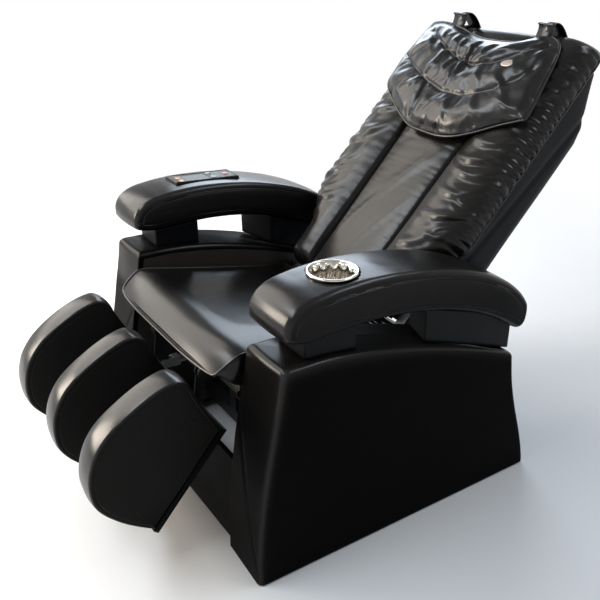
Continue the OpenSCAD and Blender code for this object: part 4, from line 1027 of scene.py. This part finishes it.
def back_grid():
    """For each height up the back, a profile from the left side seam over both bolsters to
    the right one, and back along the flat rear. Both ends shrink on to the rear plane."""
    z = np.concatenate([[0, 0], 30 * (1 - np.cos(degrees(3, 90, 12))),
                        np.linspace(35, BACK_L - 40, 178),
                        BACK_L - 34 * (1 - np.sin(degrees(3, 90, 14))), [BACK_L] * 2])
    close = np.concatenate([[1, 0.4], np.zeros(12 + 178 + 14), [0.4, 1]])
    full = rounded(z, 30) * rounded(BACK_L - z, 34)
    climb, fall = degrees(0, 90, 31)[:-1], degrees(0, 90, 25)[:-1]
    bolster = CREST - BACK_REAR - EDGE
    grid = []
    for k in range(len(z)):
        w, (left, right) = back_half(z[k]), back_channels(z[k])
        top_left, top_right = -w + (w + left) * 0.45, w - (w - right) * 0.45
        deep, valley = 20 * full[k], CREST - BACK_REAR - 20 * full[k]
        mid, h = (left + right) / 2, (right - left) / 2
        x = np.concatenate([
            -w + (top_left + w) * (1 - np.cos(climb)), top_left + (left - top_left) * np.sin(fall),
            mid - h * np.cos(2 * climb), top_right + (right - top_right) * np.cos(fall),
            top_right + (w - top_right) * np.sin(climb), [w]])
        n = np.concatenate([
            EDGE + bolster * np.sin(climb), valley + deep * np.cos(fall),
            valley + 0.5 * deep * np.sin(2 * climb), valley + deep * np.sin(fall),
            EDGE + bolster * np.cos(climb), [EDGE]])
        front = xyz(x, -BACK_REAR - n * (0.12 + 0.88 * full[k]), z[k])
        rear = xyz(np.linspace(w - 8, -w + 8, 26), -BACK_REAR, z[k])
        ring = np.vstack([front, rear])
        target = xyz(ring[:, 0] * 0.96, -BACK_REAR - 4.0, z[k])
        grid.append(ring + (target - ring) * close[k])
    return np.array(grid)


back_leather = leather("back_leather", (0.0042, 0.0039, 0.0037), (0.0090, 0.0078, 0.0066),
                       0.30, 0.09, crease=0.28, coat=0.32)
back = surface("back_skin", placed(back_grid(), BACK))
at = unplaced(points_of(back), BACK)
left, right = back_channels(at[:, 2])
held = (at[:, 1] > -BACK_REAR - 9) | (np.abs(at[:, 0] - left) < 3) | (np.abs(at[:, 0] - right) < 3)
puff(back, 2.6, 0.0, 8.0, held, frames=14, stiff=20.0, bend=5.0)
at = unplaced(points_of(back), BACK)
x, y, z = at.T
left, right = back_channels(z)
rng = np.random.RandomState(7)
table = []
for side in (1, -1):
    for k in range(13):
        table.append((side * rng.uniform(160, 214), 112 + 45 * k + rng.uniform(-14, 14),
                      rng.uniform(8, 34), rng.uniform(44, 74), rng.uniform(9, 16),
                      rng.uniform(3.0, 7.0), rng.uniform(-0.6, -0.25)))
    for k in range(26):
        table.append((side * rng.uniform(212, 238), 98 + 24 * k + rng.uniform(-8, 8),
                      rng.uniform(-5, 45), rng.uniform(20, 34), rng.uniform(5, 8),
                      rng.uniform(1.5, 3.2), rng.uniform(-0.4, 0.1)))
middle = [(-10, 230, 62, 120, 13, 2.6, 0.05), (40, 330, 55, 110, 16, 2.2, -0.05),
          (-40, 420, 35, 80, 18, 1.8, 0.1), (30, 150, 66, 110, 10, 2.2, 0.05),
          (60, 470, 60, 70, 12, 2.0, 0.0)]
facing = smooth((-y - BACK_REAR - 14) / 25)
bolster = np.maximum(smooth((left - x - 8) / 30), smooth((x - right - 8) / 30))
between = smooth((x - left - 8) / 25) * smooth((right - x - 8) / 25)
loose = smooth(z / 60) * smooth((BACK_L - z) / 40)
lift = folds(x, z, table) * bolster + folds(x, z, middle) * between
groove = 9.0 * (bell(x - left, 5.5) + bell(x - right, 5.5))
to_seam = np.clip(-y - BACK_REAR, 0, 90)
ruffle = (np.abs(np.sin(np.pi * z / 17 + 1.7 * np.sin(z / 41) + 0.8 * np.sin(z / 13))) ** 0.8 - 0.5) * (
    0.7 + 0.3 * np.sin(z / 57))
gather = 11.0 * ruffle * bell(to_seam - 16, 24) * smooth((to_seam - 1) / 8) * smooth((z - 70) / 60)
soft = 0.7 * ripple(at, 120, 71) + 0.2 * ripple(at * [1, 1, 1.6], 36, 72)
back.data.update()
normal = unplaced(read(back, "normal").astype(float), ((0, 0, 0), BACK[1]))
grown = at + normal * ((lift + soft) * facing * loose + gather * loose)[:, None]
grown[:, 1] += groove * facing * loose
grown[:, 1] = np.minimum(grown[:, 1], -BACK_REAR + 0.1)
move_to(back, placed(grown, BACK))
mark(back, "wear", bolster * bell(-y - CREST, 12) * 0.35)
dress(back, back_leather, "backrest", "leather_back", "back_pad", fill=0.6)

z = np.linspace(66, BACK_L - 6, 150)
for word, side in SIDES:
    line = xyz(side * (back_half(z) - 1.5), -BACK_REAR - 1.0 + 0.8 * np.sin(z / 9), z)
    cord = tube(word + "_back_welt", placed(line, BACK), 2.6)
    dress(cord, welt_leather, "backrest", "leather_back")


# Back shell. Stiff cloth-faced cover over the frame behind the pad, drawn round a board:
# flat flanks, a bevelled rear, and a lighter pressed crease along each flank.
def cloth(name, colour, second, rough, level):
    """Coated cloth: a fine square weave under a matt coat, with slow uneven fading."""
    made, place = material(name)
    warp, weft = (place.node("TexWave", {"Vector": place, "Scale": 150.0, "Distortion": 0.4},
                             output="Fac", bands_direction=way) for way in ("X", "Z"))
    cloud = noise(place, 5.0, 4.0)
    glaze(place, 0.4, 0.0003, warp + weft, {
        "Base Color": cloud.mix((*colour, 1), (*second, 1)), "Roughness": (cloud - 0.5) * 0.15 + rough,
        "Specular IOR Level": level, "Sheen Weight": 0.08, "Sheen Roughness": 0.4})
    return made


def shell_grid():
    """A sheet round the back frame: for each height a line from one flank over the bevel and
    the flat rear to the other flank, growing with the pad; on top it is drawn in to the pad."""
    z = np.concatenate([np.linspace(61, BACK_L - 41, 100), [BACK_L - 40.5] * 4])
    close = np.concatenate([np.zeros(100), [0.03, 0.3, 0.7, 1]])
    grid = []
    for k in range(len(z)):
        grow = smooth((z[k] - 60) / 160)
        w = 188 + (OPENING - 5.5 - 188) * grow
        deep = 120 - 0.75 * max(0, z[k] - (BACK_L - 165))
        flank = min(85, deep - 12)
        half = np.array([[w, -13.4], [w - 1, 10], [w - 4, flank], [w - 12, flank + 0.5 * (deep - flank)],
                         [w - 32, deep], [0, deep]])
        line = resample(half, 60)
        for _ in range(3):
            line[1:-1] = (line[:-2] + 2 * line[1:-1] + line[2:]) / 4
        line = np.vstack([line, line[::-1][1:] * [-1, 1]])
        line[:, 1] += (-13.4 - line[:, 1]) * close[k]
        grid.append(xyz(*line.T, z[k]))
    grid = np.array(grid)
    flank_mask = smooth((np.abs(grid[..., 0]) - 150) / 60)
    across_line = -5 + 0.135 * (grid[..., 2] - 60)
    ridge = bell(grid[..., 1] - across_line, 7) * 3.0 * smooth((grid[..., 2] - 110) / 80)
    grid[..., 0] -= np.sign(grid[..., 0]) * flank_mask * ridge
    grid[:100] += outward(grid[:100], ring=False) * (0.8 * ripple(grid[:100], 170, 91)[..., None] - 0.9)
    return grid


shell_cloth = cloth("shell_cloth", (0.0026, 0.0031, 0.0050), (0.0048, 0.0054, 0.0080), 0.5, level=0.10)
shell = surface("shell_cover", placed(shell_grid(), BACK), ring=False)
wall = shell.modifiers.new("wall", "SOLIDIFY")
wall.thickness, wall.offset, wall.use_even_offset = 0.0036, -1, True
dress(shell, shell_cloth, "backrest", "shell_cloth", "back_shell")


# Head pillow. A shield-shaped pillow hung over the top of the back: soft fibre in a
# leather cover with a piped rim, two scalloped seams and a short one, and a metal button.
PILLOW_RIM = np.array([
    (-216, 597), (-200, 684), (-186, 700), (-143, 702), (-84, 691), (-20, 674), (42, 672), (89, 675),
    (127, 684), (142, 697), (171, 703), (203, 690), (222, 660), (238, 583), (250, 506), (236, 492),
    (196, 471), (152, 444), (106, 421), (59, 410), (3, 410), (-56, 417), (-132, 453), (-206, 502),
    (-216, 545)], float)


def ring_curve(points, count):
    """A smooth closed curve through points, as points at equal steps: each span is a cubic
    that leaves and arrives along the chord of its neighbours."""
    p = points
    m = (np.roll(p, -1, 0) - np.roll(p, 1, 0)) / 2
    t = np.linspace(0, 1, 12, endpoint=False)[None, :, None]
    a, c, ma, mc = p[:, None], np.roll(p, -1, 0)[:, None], m[:, None], np.roll(m, -1, 0)[:, None]
    curve = ((2 * t ** 3 - 3 * t ** 2 + 1) * a + (t ** 3 - 2 * t ** 2 + t) * ma
             + (3 * t ** 2 - 2 * t ** 3) * c + (t ** 3 - t ** 2) * mc).reshape(-1, p.shape[1])
    return resample(np.vstack([curve, curve[:1]]), count + 1)[:-1]


def line_distance(x, z, line):
    """Distance of points from a drawn line, the least over its straight spans."""
    best = np.full(x.shape, 1e9)
    for a, c in zip(line[:-1], line[1:]):
        d = c - a
        t = np.clip(((x - a[0]) * d[0] + (z - a[1]) * d[1]) / (d @ d), 0, 1)
        best = np.minimum(best, np.hypot(x - a[0] - t * d[0], z - a[1] - t * d[1]))
    return best


rim_line = ring_curve(PILLOW_RIM, 260)
heart = np.array([14.0, 560.0])
PILLOW_REAR = CREST + 0.4
levels = [(k, PILLOW_REAR) for k in (0, 0.25, 0.5, 0.75, 0.92)]
levels += [(0.975, PILLOW_REAR + 2), (1, PILLOW_REAR + 8)]
share = np.concatenate([np.linspace(0.995, 0.9, 10), np.linspace(0.88, 0, 40)])
levels += [(k, PILLOW_REAR + 12 + 24 * (1 - k ** 3.2) ** 0.75) for k in share]
grid = []
for size, thick in levels:
    ring = heart + (rim_line - heart) * size
    grid.append(xyz(ring[:, 0], -thick, ring[:, 1]))
pillow = surface("pillow_skin", placed(np.array(grid), BACK))
at = unplaced(points_of(pillow), BACK)
SEAMS = [np.array(l, float) for l in (
    [(-212, 596), (-140, 556), (-68, 527), (0, 508), (59, 507), (104, 520), (145, 542), (184, 582),
     (200, 610)],
    [(-166, 668), (-120, 642), (-71, 617), (-10, 595), (43, 586), (96, 605), (140, 634), (190, 676)],
    [(-58, 520), (-56, 480), (-54, 432)])]
near = np.min([line_distance(at[:, 0], at[:, 2], l) for l in SEAMS], axis=0)
held = (at[:, 1] > -PILLOW_REAR - 3) | (near < 3.5)
puff(pillow, 4.0, 0.006, 13.0, held, frames=18, bend=3.0)
at = unplaced(points_of(pillow), BACK)
x, y, z = at.T
near = np.min([line_distance(x, z, l) for l in SEAMS], axis=0)
front = smooth((-y - PILLOW_REAR - 10) / 10)
rng = np.random.RandomState(19)
table = []
for cx, cz, turn, length, width, height, bend in (
        (-96, 640, 106, 40, 11, 3.4, 0.12), (-52, 616, 80, 58, 9, 6.4, -0.06),
        (-22, 624, 96, 44, 7, 4.6, 0.05), (16, 612, 88, 60, 9, 6.8, -0.05),
        (56, 640, 70, 30, 10, 3.0, 0.1), (-22, 566, 84, 26, 6, 5.5, 0.1),
        (-86, 524, 64, 34, 8, 5.0, -0.1), (4, 556, 104, 22, 7, 3.5, 0.1),
        (-132, 640, 120, 40, 12, 4.0, 0.15), (-158, 610, 40, 34, 14, 3.2, 0.1),
        (92, 626, 30, 34, 10, 3.6, 0.1), (170, 655, 60, 36, 10, 4.4, -0.1),
        (196, 640, 78, 34, 8, 3.4, 0.1), (84, 566, 118, 34, 13, 3.4, 0.12),
        (150, 560, 140, 30, 12, 2.8, 0.1), (-28, 452, 70, 34, 12, 3.0, 0.1),
        (52, 470, 112, 30, 14, 3.0, -0.1), (118, 500, 120, 34, 15, 3.2, 0.1),
        (-116, 494, 40, 30, 12, 3.0, 0.1), (186, 520, 130, 34, 13, 3.0, 0.1)):
    table.append((cx + rng.uniform(-4, 4), cz, turn, length, width,
                  height * rng.uniform(0.8, 1.2), bend))
for k in range(26):
    table.append((rng.uniform(-190, 215), rng.uniform(440, 680), rng.uniform(40, 140),
                  rng.uniform(14, 28), rng.uniform(4, 9), rng.uniform(0.6, 1.7),
                  rng.uniform(-0.2, 0.2)))
rim_near = line_distance(x, z, np.vstack([rim_line[::4], rim_line[:1]]))
loose = smooth((rim_near - 8) / 16)
lift = folds(x, z, table) * loose + 1.2 * ripple(at, 60, 81) * loose - 5.5 * bell(near, 4.2)
lift += 3.5 * (1 - bell(near, 26)) * loose
at[:, 1] -= lift * front
drape = smooth((z - 640) / 70)
at[:, 1] += drape * 6 * front
move_to(pillow, placed(at, BACK))
mark(pillow, "wear", bell(near, 3) * 0.15 + bell(rim_near, 9) * 0.3)
pillow_leather = leather("pillow_leather", (0.0046, 0.0048, 0.0054), (0.0088, 0.0085, 0.0083),
                         0.30, 0.10, crease=0.3, coat=0.40)
dress(pillow, pillow_leather, "head_pillow", "leather_back", "head_pillow", fill=0.55)
outline = heart + (rim_line - heart) * 1.004
piping = xyz(outline[:, 0], -PILLOW_REAR - 9.0, outline[:, 1])
cord = tube("pillow_piping", placed(piping, BACK), 3.0, loop=True)
dress(cord, welt_leather, "head_pillow", "leather_back")

brass, place = material("satin_badge")
smear = noise(place, 300.0, 3.0)
glaze(place, 0.2, 0.0002, smear, {
    "Base Color": smear.mix((0.38, 0.30, 0.26, 1), (0.50, 0.42, 0.37, 1)), "Metallic": 0.8,
    "Roughness": smear * 0.2 + 0.38})
tree = BVHTree.FromObject(pillow, bpy.context.evaluated_depsgraph_get())
aim = placed(np.array([[137.0, -160.0, 605.0], [137.0, -80.0, 605.0]]), BACK)
ray = unit(aim[1] - aim[0])
hit, tilt, _, _ = tree.ray_cast((aim[0] * 0.001).tolist(), ray.tolist())
tilt = np.array(tilt)
flat = unit(np.cross(tilt, [1.0, 0.2, 0]))
q = circle(48)
dome = np.array([(0.0, -1.5), (1.0, -1.5), (1.0, 0.6), (0.93, 1.4), (0.8, 1.7), (0.7, 1.5), (0.4, 2.2),
                 (0.0, 2.5)])
BUTTON_X, BUTTON_Z = 17, 10.5
ring = np.cos(q)[:, None] * np.cross(flat, tilt) * BUTTON_X + np.sin(q)[:, None] * flat * BUTTON_Z
grid = np.array(hit) * 1000 + dome[:, :1, None] * ring[None] + dome[:, 1:, None] * tilt[None, None]
dress(surface("pillow_button", grid), brass, "head_pillow", "bright_steel")


# Pillow straps. Two flat leather straps, sewn in under the pillow's top rim and folded on
# the line it swings on; their tails lie over the head end and are tacked behind the pad.
FOLD = np.array([-110.0, 722.0])


def strap(name, path, half, thick):
    """A flat belt: a thin rectangle across X carried along a path, square to it and shut
    on to the path's ends."""
    up = np.cross([1.0, 0, 0], unit(np.gradient(path, axis=0)))
    edge = np.array([(-half, -thick), (half, -thick), (half, thick), (-half, thick)])
    grid = path[:, None] + edge[None, :, :1] * np.array([1.0, 0, 0]) + edge[None, :, 1:] * up[:, None]
    return surface(name, capped(path, grid))


STRAP_HALF, STRAP_THICK, BEAD_R = 21, 0.9, 2.6
for word, x_mid in (("right", -112.0), ("left", 156.0)):
    sewn = xyz(x_mid, *bezier([[-95, 682], [-95, 703], [-100, 716], FOLD], 12).T)
    dress(strap(word + "_pillow_strap", placed(sewn, BACK), STRAP_HALF, STRAP_THICK), welt_leather,
          "head_pillow", "leather_back")
    bead = xyz(np.linspace(x_mid - 22, x_mid + 22, 12), *FOLD)
    dress(tube(word + "_pillow_bead", placed(bead, BACK), BEAD_R), welt_leather,
          "head_pillow", "leather_back")
    laid = xyz(x_mid, np.linspace(-56, -22, 8), 760.0)
    laid = unplaced(against(back, placed(laid, BACK), 1.6), BACK)
    free = bezier([FOLD, [-106, 738], [-84, 744], laid[0, 1:]], 12)[:-1]
    rear = bezier([laid[-1, 1:], [-14, laid[-1, 2]], [-12.4, 732], [-12.4, 701]], 10)[1:]
    tail = xyz(x_mid, *np.vstack([free, laid[:, 1:], rear]).T)
    dress(strap(word + "_strap_tail", placed(tail, BACK), STRAP_HALF, STRAP_THICK), welt_leather,
          "backrest", "leather_back")


# The works. Powder-coated tube frame, dark steel hinges and rails, zinc-plated rods, cast
# and moulded drives, plywood boards and rubber rollers keep their shapes and get finishes.
def metal(name, colour, second, rough, metallic=1.0, grit=400.0, stretch=(1, 1, 1), depth=0.00015):
    """Metal or its coat: fine grit, drawn out along one way by stretch, clouded by handling."""
    made, place = material(name)
    drawn = place.node("Mapping", {"Vector": place, "Scale": stretch})
    cloud = noise(place, 16.0, 4.0)
    glaze(place, 0.5, depth, noise(drawn, grit, 3.0), {
        "Base Color": cloud.mix((*colour, 1), (*second, 1)), "Metallic": metallic,
        "Roughness": (cloud - 0.5) * 0.25 + rough})
    return made


powder = metal("powder_coat", (0.010, 0.010, 0.011), (0.018, 0.018, 0.019), 0.5, metallic=0.0,
               grit=900.0)
zinc = metal("zinc_plate", (0.40, 0.41, 0.42), (0.50, 0.51, 0.52), 0.38, stretch=(1, 1, 6))
casting = metal("grey_casting", (0.12, 0.125, 0.13), (0.17, 0.175, 0.18), 0.5, metallic=0.4, grit=260.0)
alloy = metal("aluminium_plate", (0.30, 0.305, 0.315), (0.40, 0.405, 0.415), 0.46, stretch=(8, 1, 1))
dark_steel = metal("dark_steel", (0.010, 0.010, 0.011), (0.018, 0.018, 0.019), 0.5, metallic=0.2)
rubber = plastic("black_rubber", (0.010, 0.010, 0.010), (0.018, 0.018, 0.018), 0.7, grit=700.0,
                 level=0.3)
brown_rubber = plastic("roller_rubber", (0.045, 0.032, 0.026), (0.065, 0.048, 0.038), 0.6, grit=600.0,
                       level=0.35)
black_plastic = plastic("black_plastic", (0.010, 0.010, 0.011), (0.018, 0.018, 0.019), 0.45)
pump_plastic = plastic("pump_plastic", (0.07, 0.073, 0.078), (0.10, 0.104, 0.11), 0.5)
black_board = cloth("black_board", (0.0013, 0.0013, 0.0015), (0.0023, 0.0023, 0.0025), 0.6, level=0.05)
# Plywood boards painted near black: painted shade for the dark inside of the base and under the seat.
plywood_painted_shade = metal("plywood_in_painted_shade", (0.012, 0.010, 0.008), (0.026, 0.020, 0.015), 0.6, metallic=0.0,
                 grit=120.0, stretch=(1, 14, 14), depth=0.0004)

screw_steel, place = material("screw_steel")
lean = place.node("Mapping", {"Vector": place, "Rotation": (np.radians(BACK[1]), 0, 0)})
turns = place.node("TexWave", {"Vector": lean, "Scale": 52.0}, output="Fac", bands_direction="Z")
# Colour follows the thread's wave: roots painted darker and crests lighter, painted shade in the grooves
# and painted highlight on the crests.
glaze(place, 0.9, 0.0015, turns, {
    "Base Color": turns.mix((0.30, 0.30, 0.31, 1), (0.62, 0.63, 0.65, 1)), "Metallic": 1.0,
    "Roughness": noise(place, 30.0, 3.0) * 0.2 + 0.2})

FINISHES = {
    powder: ("base_side_rails", "base_cross_tubes", "base_posts", "seat_frame", "drive_stands",
             "back_uprights", "back_cross_tubes"),
    dark_steel: ("hinge_plates", "hinge_pins", "side_bolts", "recline_lever", "roller_forks",
                 "legrest_arms", "guide_rails"),
    zinc: ("recline_rod", "legrest_rod", "kneading_shaft"),
    casting: ("recline_actuator", "legrest_actuator", "screw_motor", "massage_motor", "screw_bearings"),
    alloy: ("carriage_frame", "left_massage_arm", "right_massage_arm"),
    screw_steel: ("lead_screw",),
    rubber: ("transport_rollers", "floor_glides"),
    brown_rubber: ("left_upper_roller", "left_lower_roller", "right_upper_roller", "right_lower_roller"),
    pump_plastic: ("air_pump", "control_box"),
    plywood_painted_shade: ("seat_board", "inner_boards"),
    key_red: ("power_switch",),
}
for finish, names in FINISHES.items():
    for name in names:
        finish_node(name, finish)


# Covers. The front kick board, rear cover, leg-rest board and inlet are flat pressings
# and mouldings; their edges are broken by a small round.
for node, finish, body, slot, width in (
        ("kick_panel", black_board, "base", "board_black", 0.002),
        ("rear_cover", black_plastic, "base", "black_plastic", 0.001),
        ("legrest_board", black_board, "legrest", "board_black", 0.0015),
        ("power_inlet", black_plastic, "base", "black_plastic", 0.0008)):
    dress(softened(node, width, segments=2), finish, body, slot, node)
